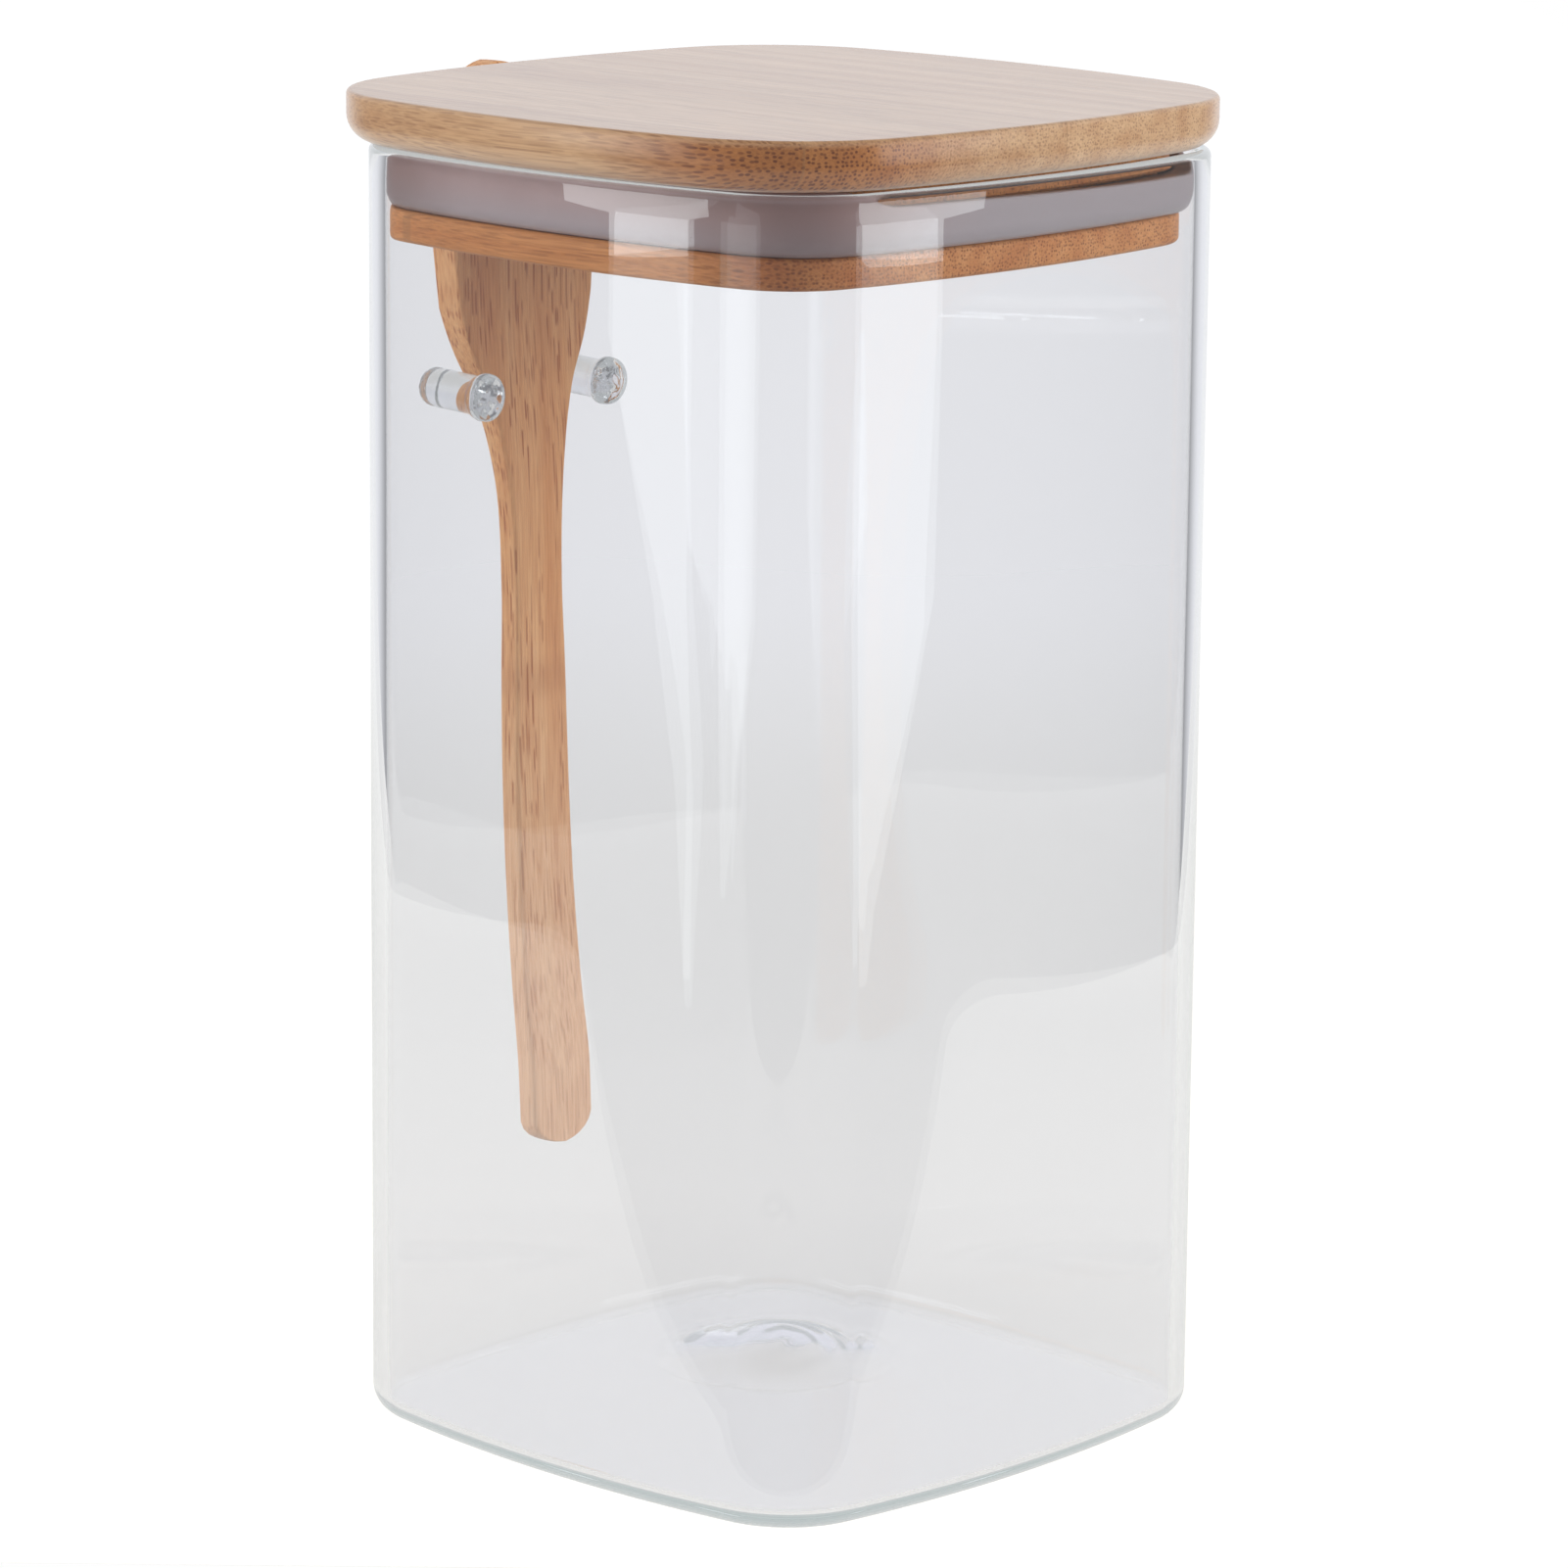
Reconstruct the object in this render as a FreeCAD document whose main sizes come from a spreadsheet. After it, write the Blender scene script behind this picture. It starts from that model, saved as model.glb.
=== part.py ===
import FreeCAD, Part
import math
import os

import Sketcher

# Square glass storage jar with a bamboo lid, and a bamboo spoon hung on two glass pegs.
# Millimetres. The origin is on the standing plane, under the middle of the jar, with +Z up.
# The pegs and the spoon are on the front wall, which faces -Y.

doc = FreeCAD.newDocument("SpoonJar")
sheet = doc.addObject("Spreadsheet::Sheet", "Dims")

DIMENSIONS = [
    ("jar_width", 100, "jar across the middle of two opposite sides"),
    ("jar_height", 188.7, "standing plane to rim"),
    ("side_radius", 214, "bow of each side, seen from above"),
    ("corner_radius", 16.5, "corners between the sides"),
    ("wall", 2.3, "glass wall"),
    ("base_thickness", 3, "glass base"),
    ("heel_radius", 4, "rounding between wall and base, inside and out"),
    ("pushup_width", 46, "raised round in the middle of the base"),
    ("pushup_rise", 4, "height of that round"),
    ("lid_gap", 0.3, "rim to underside of the lid board"),
    ("lid_overhang", 3.35, "lid board past the jar, each side"),
    ("lid_shift", 0.75, "lid boards off the jar's middle, towards +X and -Y"),
    ("lid_side_radius", 200, "bow of the lid board's sides"),
    ("lid_corner_radius", 24, "lid board's corners"),
    ("lid_thickness", 7.4, "lid board"),
    ("lid_top_round", 1.2, "lid board's upper edge"),
    ("lid_bottom_round", 4, "lid board's lower edge"),
    ("seal_height", 9.2, "seal, and the neck it is stretched over"),
    ("seal_width", 3.6, "seal from inner to outer face"),
    ("seal_lip", 2.6, "rounding of the seal's lower lip"),
    ("seal_clearance", 0.3, "seal to jar wall"),
    ("seat_gap", 0.1, "seal to neck where they come nearest"),
    ("plug_thickness", 4.6, "plug board under the seal"),
    ("plug_clearance", 2.1, "plug board to jar wall with the lid in the middle"),
    ("plug_round", 0.8, "plug board's edges"),
    ("peg_diameter", 6, "glass peg"),
    ("peg_length", 13, "jar side to tip of peg"),
    ("peg_tilt", 2, "upward slope of the pegs, degrees"),
    ("peg_tip_round", 2, "rounding of the peg's tip"),
    ("flange_diameter", 7.4, "weld at the root of a peg"),
    ("flange_length", 1.8, "length of that weld"),
    ("peg_clearance", 0.69, "spoon to peg, sideways at the peg's axis"),
    ("seat_width", 18, "spoon where it sits between the pegs"),
    ("tip_drop", 0.5, "top of the lid board down to the spoon's tip"),
    ("bowl_length", 48.2, "tip of the spoon to the pegs"),
    ("bowl_width", 30, "widest part of the bowl"),
    ("bowl_thickness", 6.2, "bowl from back to rim"),
    ("bowl_hollow", 4.6, "depth of the bowl's hollow"),
    ("bowl_rim", 1.7, "wood left beside the hollow"),
    ("tip_thickness", 3.4, "spoon at its tip"),
    ("bowl_standoff", 3.7, "jar side to back of the bowl"),
    ("tip_reach", 5.2, "lid board's edge to back of the tip, outwards"),
    ("handle_length", 117.2, "pegs to the handle's end"),
    ("handle_thickness", 4.2, "spoon handle"),
    ("handle_bow", 2.5, "handle stands this much further off at its neck than at its end"),
    ("neck_width", 12.5, "handle below the bowl"),
    ("waist_width", 9.8, "narrowest part of the handle"),
    ("grip_width", 12.8, "widest part of the handle, near its end"),
    ("spoon_edge", 0.8, "rounding of the spoon's edges"),
    ("spoon_gap", 0.4, "end of the handle to jar side"),
    ("spoon_lean", 2, "sideways lean of the hanging spoon, degrees"),
]
for row, (alias, size, meaning) in enumerate(DIMENSIONS, start=1):
    sheet.set(f"A{row}", meaning)
    sheet.set(f"B{row}", str(size))
    sheet.setAlias(f"B{row}", alias)
doc.recompute()

ORIGIN = (-1, 1)
H_AXIS = -1
V_AXIS = -2
START, END, CENTRE = range(1, 4)
X_RIGHT = FreeCAD.Vector(1, 0, 0)
Y_BACK = FreeCAD.Vector(0, 1, 0)
Z_UP = FreeCAD.Vector(0, 0, 1)
SETTLING_STEPS = 30


def value(expression):
    """Number that an expression of the sheet's cells has now."""
    return float(sheet.evalExpression(expression))


def new_body(label):
    body = doc.addObject("PartDesign::Body", label)
    body.Label = label
    return body


def new_sketch(body, name, plane="XY_Plane", out="0", up="0"):
    """Sketch on one of the body's own planes, moved along it by out and off it by up."""
    support = next(item for item in body.Origin.OriginFeatures if item.Role == plane)
    sketch = body.newObject("Sketcher::SketchObject", name)
    sketch.AttachmentSupport = [(support, "")]
    sketch.MapMode = "FlatFace"
    sketch.setExpression("AttachmentOffset.Base.y", out)
    sketch.setExpression("AttachmentOffset.Base.z", up)
    return sketch


def drive(sketch, kind, places, label, expression):
    """Add a dimension to a sketch and bind it to the sheet."""
    index = sketch.addConstraint(Sketcher.Constraint(kind, *places, value(expression)))
    sketch.renameConstraint(index, label)
    sketch.setExpression(f"Constraints.{label}", expression)


def add_arc(sketch, x, y, radius, start, end):
    circle = Part.Circle(FreeCAD.Vector(x, y, 0), Z_UP, radius)
    return sketch.addGeometry(Part.ArcOfCircle(circle, start, end), False)


def join_smoothly(sketch, ring):
    """Close a ring of arcs, each tangent to the next."""
    for here, following in zip(ring, ring[1:] + ring[:1]):
        sketch.addConstraint(Sketcher.Constraint("Tangent", here, END, following, START))


def bowed_rectangle(sketch, label, halves, bows, corner_radius):
    """Outline of four bowed sides and four tangent corner arcs, centred on the sketch's origin.

    halves are the distances from the origin to the middle of the sides, along X and Y;
    bows are the radii of those sides.
    """
    offsets = [f"{bow} - {half}" for half, bow in zip(halves, bows)]
    shift_x, shift_y = [value(offset) for offset in offsets]
    bow_x, bow_y = [value(bow) for bow in bows]
    round_off = value(corner_radius)
    corner_x, corner_y = [value(half) - round_off for half in halves]
    for _ in range(SETTLING_STEPS):
        corner_x = math.sqrt((bow_x - round_off) ** 2 - corner_y ** 2) - shift_x
        corner_y = math.sqrt((bow_y - round_off) ** 2 - corner_x ** 2) - shift_y
    swing_x = math.atan2(corner_y, corner_x + shift_x)
    swing_y = math.atan2(corner_x, corner_y + shift_y)
    right_angle = math.pi / 2
    sides, corners = [], []
    for quarter in range(4):
        turn = quarter * right_angle
        cosine, sine = round(math.cos(turn)), round(math.sin(turn))
        along_x = quarter % 2 == 0
        shift, bow = (shift_x, bow_x) if along_x else (shift_y, bow_y)
        before, after = (swing_x, swing_y) if along_x else (swing_y, swing_x)
        sides.append(add_arc(sketch, -shift * cosine, -shift * sine, bow, turn - before, turn + before))
        x, y = (cosine - sine) * corner_x, (cosine + sine) * corner_y
        ends = (turn + before, turn + right_angle - after)
        corners.append(add_arc(sketch, x, y, round_off, *ends))
    join_smoothly(sketch, [arc for pair in zip(sides, corners) for arc in pair])
    east, north, west, south = sides
    for near, far, axis in ((east, west, H_AXIS), (north, south, V_AXIS)):
        sketch.addConstraint(Sketcher.Constraint("Equal", near, far))
        sketch.addConstraint(Sketcher.Constraint("Symmetric", near, CENTRE, far, CENTRE, *ORIGIN))
        sketch.addConstraint(Sketcher.Constraint("PointOnObject", near, CENTRE, axis))
    for other in corners[1:]:
        sketch.addConstraint(Sketcher.Constraint("Equal", corners[0], other))
    drive(sketch, "DistanceX", (east, CENTRE, *ORIGIN), f"{label}_offset_x", offsets[0])
    drive(sketch, "DistanceY", (north, CENTRE, *ORIGIN), f"{label}_offset_y", offsets[1])
    drive(sketch, "Radius", (east,), f"{label}_bow_x", bows[0])
    drive(sketch, "Radius", (north,), f"{label}_bow_y", bows[1])
    drive(sketch, "Radius", (corners[0],), f"{label}_corner", corner_radius)


def inside_jar(sketch, label, inset):
    """Outline parallel to the jar's own, inset from it."""
    half = f"(Dims.jar_width / 2 - ({inset}))"
    bow = f"(Dims.side_radius - ({inset}))"
    bowed_rectangle(sketch, label, (half, half), (bow, bow), f"(Dims.corner_radius - ({inset}))")


def cut_through(body, sketch, length):
    """Pocket upwards from a sketch."""
    feature = body.newObject("PartDesign::Pocket", "Pocket")
    feature.Profile = sketch
    feature.Reversed = True
    feature.setExpression("Length", length)
    doc.recompute()
    return feature


def pad(body, sketch, length):
    feature = body.newObject("PartDesign::Pad", "Pad")
    feature.Profile = sketch
    feature.setExpression("Length", length)
    doc.recompute()
    return feature


def turn_round(body, kind, sketch):
    """Full turn of a sketch about its vertical axis, as a Revolution or a Groove."""
    feature = body.newObject(f"PartDesign::{kind}", kind)
    feature.Profile = sketch
    feature.ReferenceAxis = (sketch, ["V_Axis"])
    feature.Angle = 360
    doc.recompute()
    return feature


def flat_at(height):
    """Test for edges that lie level at a height."""
    return lambda edge: max(abs(edge.BoundBox.ZMin - height), abs(edge.BoundBox.ZMax - height)) < 0.01


def round_edges(body, base, radius, wanted):
    edges = enumerate(base.Shape.Edges, start=1)
    names = [f"Edge{number}" for number, edge in edges if wanted(edge)]
    feature = body.newObject("PartDesign::Fillet", "Fillet")
    feature.Base = (base, names)
    feature.setExpression("Radius", radius)
    doc.recompute()
    return feature


# Jar: blown glass, one wall all round, rounded heel, base pushed up in the middle
def dome_profile(sketch, low, floor):
    """Half of a round cap that rises from the floor, closed down to low beside its axis."""
    radius, rise = value("Dims.pushup_width / 2"), value("Dims.pushup_rise")
    bottom, base = value(low), value(floor)
    sphere = (radius ** 2 + rise ** 2) / (2 * rise)
    edge_angle = math.atan2(sphere - rise, radius)
    corners = [(0, base + rise), (0, bottom), (radius, bottom), (radius, base)]
    vectors = [FreeCAD.Vector(x, y, 0) for x, y in corners]
    axis_line, bottom_line, edge_line = [
        sketch.addGeometry(Part.LineSegment(start, end), False)
        for start, end in zip(vectors, vectors[1:])
    ]
    cap = add_arc(sketch, 0, base + rise - sphere, sphere, edge_angle, math.pi / 2)
    sketch.addConstraint(Sketcher.Constraint("Coincident", axis_line, END, bottom_line, START))
    sketch.addConstraint(Sketcher.Constraint("Coincident", bottom_line, END, edge_line, START))
    sketch.addConstraint(Sketcher.Constraint("Coincident", edge_line, END, cap, START))
    sketch.addConstraint(Sketcher.Constraint("Coincident", cap, END, axis_line, START))
    sketch.addConstraint(Sketcher.Constraint("PointOnObject", axis_line, START, V_AXIS))
    sketch.addConstraint(Sketcher.Constraint("PointOnObject", axis_line, END, V_AXIS))
    sketch.addConstraint(Sketcher.Constraint("PointOnObject", cap, CENTRE, V_AXIS))
    sketch.addConstraint(Sketcher.Constraint("Horizontal", bottom_line))
    sketch.addConstraint(Sketcher.Constraint("Vertical", edge_line))
    drive(sketch, "DistanceX", (*ORIGIN, edge_line, END), "cap_radius", "Dims.pushup_width / 2")
    drive(sketch, "DistanceY", (*ORIGIN, edge_line, END), "cap_floor", floor)
    drive(sketch, "DistanceY", (*ORIGIN, axis_line, START), "cap_top", f"{floor} + Dims.pushup_rise")
    drive(sketch, "DistanceY", (*ORIGIN, bottom_line, END), "cap_bottom", low)


jar = new_body("jar_body")
jar_outline = new_sketch(jar, "JarOutline")
inside_jar(jar_outline, "outer", "0")
jar_blank = pad(jar, jar_outline, "Dims.jar_height")
round_edges(jar, jar_blank, "Dims.heel_radius", flat_at(0))

cavity_outline = new_sketch(jar, "CavityOutline", up="Dims.base_thickness")
inside_jar(cavity_outline, "inner", "Dims.wall")
cavity = cut_through(jar, cavity_outline, "Dims.jar_height")
round_edges(jar, cavity, "Dims.heel_radius", flat_at(value("Dims.base_thickness")))

dome_sketch = new_sketch(jar, "DomeProfile", "XZ_Plane")
dome_profile(dome_sketch, "Dims.base_thickness / 2", "Dims.base_thickness")
turn_round(jar, "Revolution", dome_sketch)
pushup_sketch = new_sketch(jar, "PushupProfile", "XZ_Plane")
dome_profile(pushup_sketch, "-Dims.base_thickness", "0")
jar_pushup = turn_round(jar, "Groove", pushup_sketch)
RIM_ROUND = "Dims.wall * 0.45"
round_edges(jar, jar_pushup, RIM_ROUND, flat_at(value("Dims.jar_height")))


# Lid: bamboo board, neck and plug board glued in a stack, with the seal stretched over the neck
UNDERSIDE = "Dims.jar_height + Dims.lid_gap"
LID_TOP = f"({UNDERSIDE} + Dims.lid_thickness)"
PLUG_TOP = f"({UNDERSIDE} - Dims.seal_height)"
SEAL_FACE = "(Dims.wall + Dims.seal_clearance)"

lid_top = new_body("lid_top")
lid_outline = new_sketch(lid_top, "LidOutline", up=UNDERSIDE)
LID_HALF = "(Dims.jar_width / 2 + Dims.lid_overhang)"
LID_BOW = "Dims.lid_side_radius"
bowed_rectangle(lid_outline, "lid", (LID_HALF, LID_HALF), (LID_BOW, LID_BOW), "Dims.lid_corner_radius")
lid_board = pad(lid_top, lid_outline, "Dims.lid_thickness")
lid_upper = round_edges(lid_top, lid_board, "Dims.lid_top_round", flat_at(value(LID_TOP)))
round_edges(lid_top, lid_upper, "Dims.lid_bottom_round", flat_at(value(UNDERSIDE)))

lid_neck = new_body("lid_neck")
neck_outline = new_sketch(lid_neck, "NeckOutline", up=PLUG_TOP)
NECK_FACE = f"{SEAL_FACE} + Dims.seal_width + Dims.seat_gap + Dims.lid_shift * sqrt(2)"
inside_jar(neck_outline, "neck", NECK_FACE)
pad(lid_neck, neck_outline, "Dims.seal_height")

lid_plug = new_body("lid_plug")
plug_outline = new_sketch(lid_plug, "PlugOutline", up=f"{PLUG_TOP} - Dims.plug_thickness")
inside_jar(plug_outline, "plug", "Dims.wall + Dims.plug_clearance")
plug_board = pad(lid_plug, plug_outline, "Dims.plug_thickness")
plug_levels = [flat_at(value(PLUG_TOP)), flat_at(value(f"{PLUG_TOP} - Dims.plug_thickness"))]
round_edges(lid_plug, plug_board, "Dims.plug_round", lambda edge: any(level(edge) for level in plug_levels))

for board in (lid_top, lid_neck, lid_plug):
    board.setExpression("Placement.Base.x", "Dims.lid_shift")
    board.setExpression("Placement.Base.y", "-Dims.lid_shift")

seal_ring = new_body("seal_ring")
seal_outline = new_sketch(seal_ring, "SealOutline", up=PLUG_TOP)
inside_jar(seal_outline, "seal", SEAL_FACE)
seal_blank = pad(seal_ring, seal_outline, "Dims.seal_height")
round_edges(seal_ring, seal_blank, "Dims.seal_lip", flat_at(value(PLUG_TOP)))
seal_bore = new_sketch(seal_ring, "SealBore", up=PLUG_TOP)
inside_jar(seal_bore, "bore", f"{SEAL_FACE} + Dims.seal_width")
seal_hole = cut_through(seal_ring, seal_bore, "Dims.seal_height")


# Pegs: glass rods welded to the front wall, sloping up so that the spoon stays on
PEG_HEIGHT = f"({LID_TOP} - Dims.tip_drop - Dims.bowl_length)"
PEG_X = "(Dims.seat_width / 2 + Dims.peg_clearance + Dims.peg_diameter / 2)"
PEG_ROOT = f"(Dims.wall / 2 + {PEG_X} * {PEG_X} / (2 * Dims.side_radius))"


def peg_profile(sketch):
    """Half of a peg's outline beside its axis: weld, flare and rod."""
    rod, weld = "Dims.peg_diameter / 2", "Dims.flange_diameter / 2"
    corners = [
        ("0", f"-{PEG_ROOT}"),
        (weld, f"-{PEG_ROOT}"),
        (weld, "Dims.flange_length / 2"),
        (rod, "Dims.flange_length"),
        (rod, "Dims.peg_length"),
        ("0", "Dims.peg_length"),
    ]
    vectors = [FreeCAD.Vector(value(x), value(y), 0) for x, y in corners]
    lines = [
        sketch.addGeometry(Part.LineSegment(start, end), False)
        for start, end in zip(vectors, vectors[1:] + vectors[:1])
    ]
    for here, following in zip(lines, lines[1:] + lines[:1]):
        sketch.addConstraint(Sketcher.Constraint("Coincident", here, END, following, START))
    for number, (line, (x, y)) in enumerate(zip(lines, corners)):
        if x == "0":
            sketch.addConstraint(Sketcher.Constraint("PointOnObject", line, START, V_AXIS))
        else:
            drive(sketch, "DistanceX", (*ORIGIN, line, START), f"across_{number}", x)
        drive(sketch, "DistanceY", (*ORIGIN, line, START), f"along_{number}", y)


def peg(label, side):
    """Peg on the left (-1) or right (1), its root cut to the bowed wall."""
    rod = new_body(f"{label}_rod")
    profile = new_sketch(rod, f"{label}_profile", "XZ_Plane")
    peg_profile(profile)
    turned = turn_round(rod, "Revolution", profile)
    round_edges(rod, turned, "Dims.peg_tip_round", flat_at(value("Dims.peg_length")))
    rod.Placement = FreeCAD.Placement(FreeCAD.Vector(), FreeCAD.Rotation(X_RIGHT, 1))
    rod.setExpression("Placement.Rotation.Angle", "90 - Dims.peg_tilt")
    rod.setExpression("Placement.Base.x", f"{side} * {PEG_X}")
    rod.setExpression("Placement.Base.y", "-Dims.jar_width / 2")
    rod.setExpression("Placement.Base.z", PEG_HEIGHT)
    welded = doc.addObject("Part::Cut", label)
    welded.Label = label
    welded.Base = rod
    welded.Tool = jar
    doc.recompute()
    return welded


peg_left = peg("peg_left", -1)
peg_right = peg("peg_right", 1)


# Spoon: carved from one piece of bamboo, bowl up, its back to the jar
HANDLE_HALF = "(Dims.handle_thickness / 2)"
BOWL_HALF = "(Dims.bowl_thickness / 2)"
TIP_HALF = "(Dims.tip_thickness / 2)"
SEAT_HALF = f"(({HANDLE_HALF} + {BOWL_HALF}) / 2)"
BOWL_FACE = "(Dims.bowl_standoff + Dims.bowl_thickness)"
TIP_FACE = "(Dims.lid_overhang + Dims.lid_shift + Dims.tip_reach + Dims.tip_thickness)"
BOWL_OUT = f"({BOWL_FACE} - {BOWL_HALF})"
END_OUT = f"(Dims.spoon_gap + {HANDLE_HALF})"
NECK_OUT = f"({END_OUT} + Dims.handle_bow)"
SEAT_OUT = f"(({NECK_OUT} + {BOWL_OUT}) / 2)"
# Stations along the spoon, as shares of the bowl's length above the pegs and of the handle's below them
WIDEST_SHARE, ROOT_SHARE, SHOULDER_SHARE = 0.53, 0.27, 0.14
FLARE_SHARE, NECK_SHARE, WAIST_SHARE, GRIP_SHARE = 0.04, 0.1, 0.26, 0.9
HANDLE_STEPS = 6
TIP_ANGLES = (80, 71, 60, 45, 26, 0)
END_ANGLES = (0, 25, 46, 63, 76)
# Shares of a width: the bowl at its root, the rounding of the end, and the bows of a section
ROOT_WIDTH_SHARE = 0.92
END_ROUND_SHARE = 0.34
FACE_BOW_RATIO = 16
SIDE_BOW_RATIO = 6
# Sideways shift of the leaning spoon, so that both sides lie equally far from their pegs
SETTLING_SHARE = 0.64
# Height of the hollow's centre over the bowl's face, as a share of its depth, and its spread at that face
SCOOP_RISE_SHARE = 0.5
SCOOP_SPREAD_SHARE = math.sqrt(1 - (SCOOP_RISE_SHARE / (1 + SCOOP_RISE_SHARE)) ** 2)


def spoon_sections():
    """Height over the pegs, half width, distance off the jar and half thickness, from tip to end."""
    tip_sine = math.sin(math.radians(TIP_ANGLES[0]))
    for angle in TIP_ANGLES:
        rise = WIDEST_SHARE + (1 - WIDEST_SHARE) * math.sin(math.radians(angle)) / tip_sine
        narrow = math.cos(math.radians(angle))
        half_thick = f"({TIP_HALF} + ({BOWL_HALF} - {TIP_HALF}) * {narrow:.4f})"
        half_wide = f"(Dims.bowl_width / 2 * {narrow:.4f})"
        share = (rise - WIDEST_SHARE) / (1 - WIDEST_SHARE)
        face = f"({BOWL_FACE} + ({TIP_FACE} - {BOWL_FACE}) * {share ** 2:.4f})"
        yield f"Dims.bowl_length * {rise:.4f}", half_wide, f"({face} - {half_thick})", half_thick
    bowl_root_half = f"(Dims.bowl_width / 2 * {ROOT_WIDTH_SHARE})"
    shoulder_half = "((Dims.seat_width + Dims.bowl_width) / 4)"
    shoulder_out = f"(({SEAT_OUT} + {BOWL_OUT}) / 2)"
    shoulder_thick = f"(({SEAT_HALF} + {BOWL_HALF}) / 2)"
    flare_half = "((Dims.seat_width + Dims.neck_width) / 4)"
    flare_out = f"(({SEAT_OUT} + {NECK_OUT}) / 2)"
    flare_thick = f"(({SEAT_HALF} + {HANDLE_HALF}) / 2)"
    yield f"Dims.bowl_length * {ROOT_SHARE}", bowl_root_half, BOWL_OUT, BOWL_HALF
    yield f"Dims.bowl_length * {SHOULDER_SHARE}", shoulder_half, shoulder_out, shoulder_thick
    yield "0", "(Dims.seat_width / 2)", SEAT_OUT, SEAT_HALF
    yield f"-Dims.handle_length * {FLARE_SHARE}", flare_half, flare_out, flare_thick
    yield f"-Dims.handle_length * {NECK_SHARE}", "(Dims.neck_width / 2)", NECK_OUT, HANDLE_HALF
    for step in range(HANDLE_STEPS + 1):
        share = step / HANDLE_STEPS
        drop = WAIST_SHARE + (GRIP_SHARE - WAIST_SHARE) * share
        half_wide = f"((Dims.waist_width + (Dims.grip_width - Dims.waist_width) * {share:.4f}) / 2)"
        off = f"({NECK_OUT} + ({END_OUT} - {NECK_OUT}) * {share ** 3:.4f})"
        yield f"-Dims.handle_length * {drop:.4f}", half_wide, off, HANDLE_HALF
    end_sine = math.sin(math.radians(END_ANGLES[-1]))
    for angle in END_ANGLES:
        left = END_ROUND_SHARE * (1 - math.sin(math.radians(angle)) / end_sine)
        half_wide = f"(Dims.grip_width / 2 * {math.cos(math.radians(angle)):.4f})"
        yield f"-Dims.handle_length + Dims.grip_width * {left:.4f}", half_wide, END_OUT, HANDLE_HALF


spoon = new_body("spoon")
sections = []
for number, (height, half, off, thick) in enumerate(spoon_sections()):
    section = new_sketch(spoon, f"SpoonSection{number}", out=f"-{off}", up=height)
    bows = (f"({thick} * {SIDE_BOW_RATIO})", f"({half} * {FACE_BOW_RATIO})")
    bowed_rectangle(section, "section", (half, thick), bows, "Dims.spoon_edge")
    sections.append(section)
doc.recompute()
carving = spoon.newObject("PartDesign::AdditiveLoft", "Carving")
carving.Profile = sections[0]
carving.Sections = sections[1:]
doc.recompute()

hollow = spoon.newObject("PartDesign::SubtractiveEllipsoid", "Hollow")
hollow.AttachmentSupport = [
    (next(item for item in spoon.Origin.OriginFeatures if item.Role == "XY_Plane"), "")
]
hollow.MapMode = "FlatFace"
hollow.AttachmentOffset = FreeCAD.Placement(FreeCAD.Vector(), FreeCAD.Rotation(X_RIGHT, 1))
hollow.setExpression("AttachmentOffset.Base.y", f"-({BOWL_FACE} + Dims.bowl_hollow * {SCOOP_RISE_SHARE})")
hollow.setExpression("AttachmentOffset.Base.z", f"Dims.bowl_length * {WIDEST_SHARE}")
SCOOP_TURN = f"atan(({TIP_FACE} - {BOWL_FACE}) / Dims.bowl_length)"
SCOOP_REACH = f"(Dims.bowl_length * {1 - WIDEST_SHARE:.2f} - Dims.bowl_rim)"
hollow.setExpression("AttachmentOffset.Rotation.Angle", SCOOP_TURN)
hollow.setExpression("Radius1", f"{SCOOP_REACH} / {SCOOP_SPREAD_SHARE:.4f}")
hollow.setExpression("Radius2", f"(Dims.bowl_width / 2 - Dims.bowl_rim) / {SCOOP_SPREAD_SHARE:.4f}")
hollow.setExpression("Radius3", f"Dims.bowl_hollow * {1 + SCOOP_RISE_SHARE}")
doc.recompute()
spoon.Placement = FreeCAD.Placement(FreeCAD.Vector(), FreeCAD.Rotation(Y_BACK, 1))
spoon.setExpression("Placement.Rotation.Angle", "Dims.spoon_lean")
spoon.setExpression("Placement.Base.x", f"-Dims.seat_width / 2 * sin(Dims.spoon_lean) * {SETTLING_SHARE}")
spoon.setExpression("Placement.Base.y", "-Dims.jar_width / 2")
spoon.setExpression("Placement.Base.z", PEG_HEIGHT)
doc.recompute()


# Every object must have built, and every piece must be one valid solid, before anything is written
LEAST_CUT = 0.99
pieces = [jar, peg_left, peg_right, lid_top, lid_neck, lid_plug, seal_ring, spoon]
for item in doc.Objects:
    if "Invalid" in item.State or "Error" in item.State:
        raise RuntimeError(f"{item.Label} did not build: {item.State}")
for cut in (cavity, jar_pushup, seal_hole, hollow):
    if cut.Shape.Volume > cut.BaseFeature.Shape.Volume * LEAST_CUT:
        raise RuntimeError(f"{cut.Label} removed nothing")
for piece in pieces:
    shape = piece.Shape
    if shape.isNull() or not shape.isValid() or len(shape.Solids) != 1:
        raise RuntimeError(f"{piece.Label} is not one valid solid")
    print(f"{piece.Label}: {shape.Volume / 1000:.2f} cm3, {shape.BoundBox}")

os.makedirs("parts", exist_ok=True)
for piece in pieces:
    piece.Shape.exportStep(f"parts/{piece.Label}.step")
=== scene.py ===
import math

import bmesh
import bpy
import numpy as np
from mathutils import Matrix, Vector, noise


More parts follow.
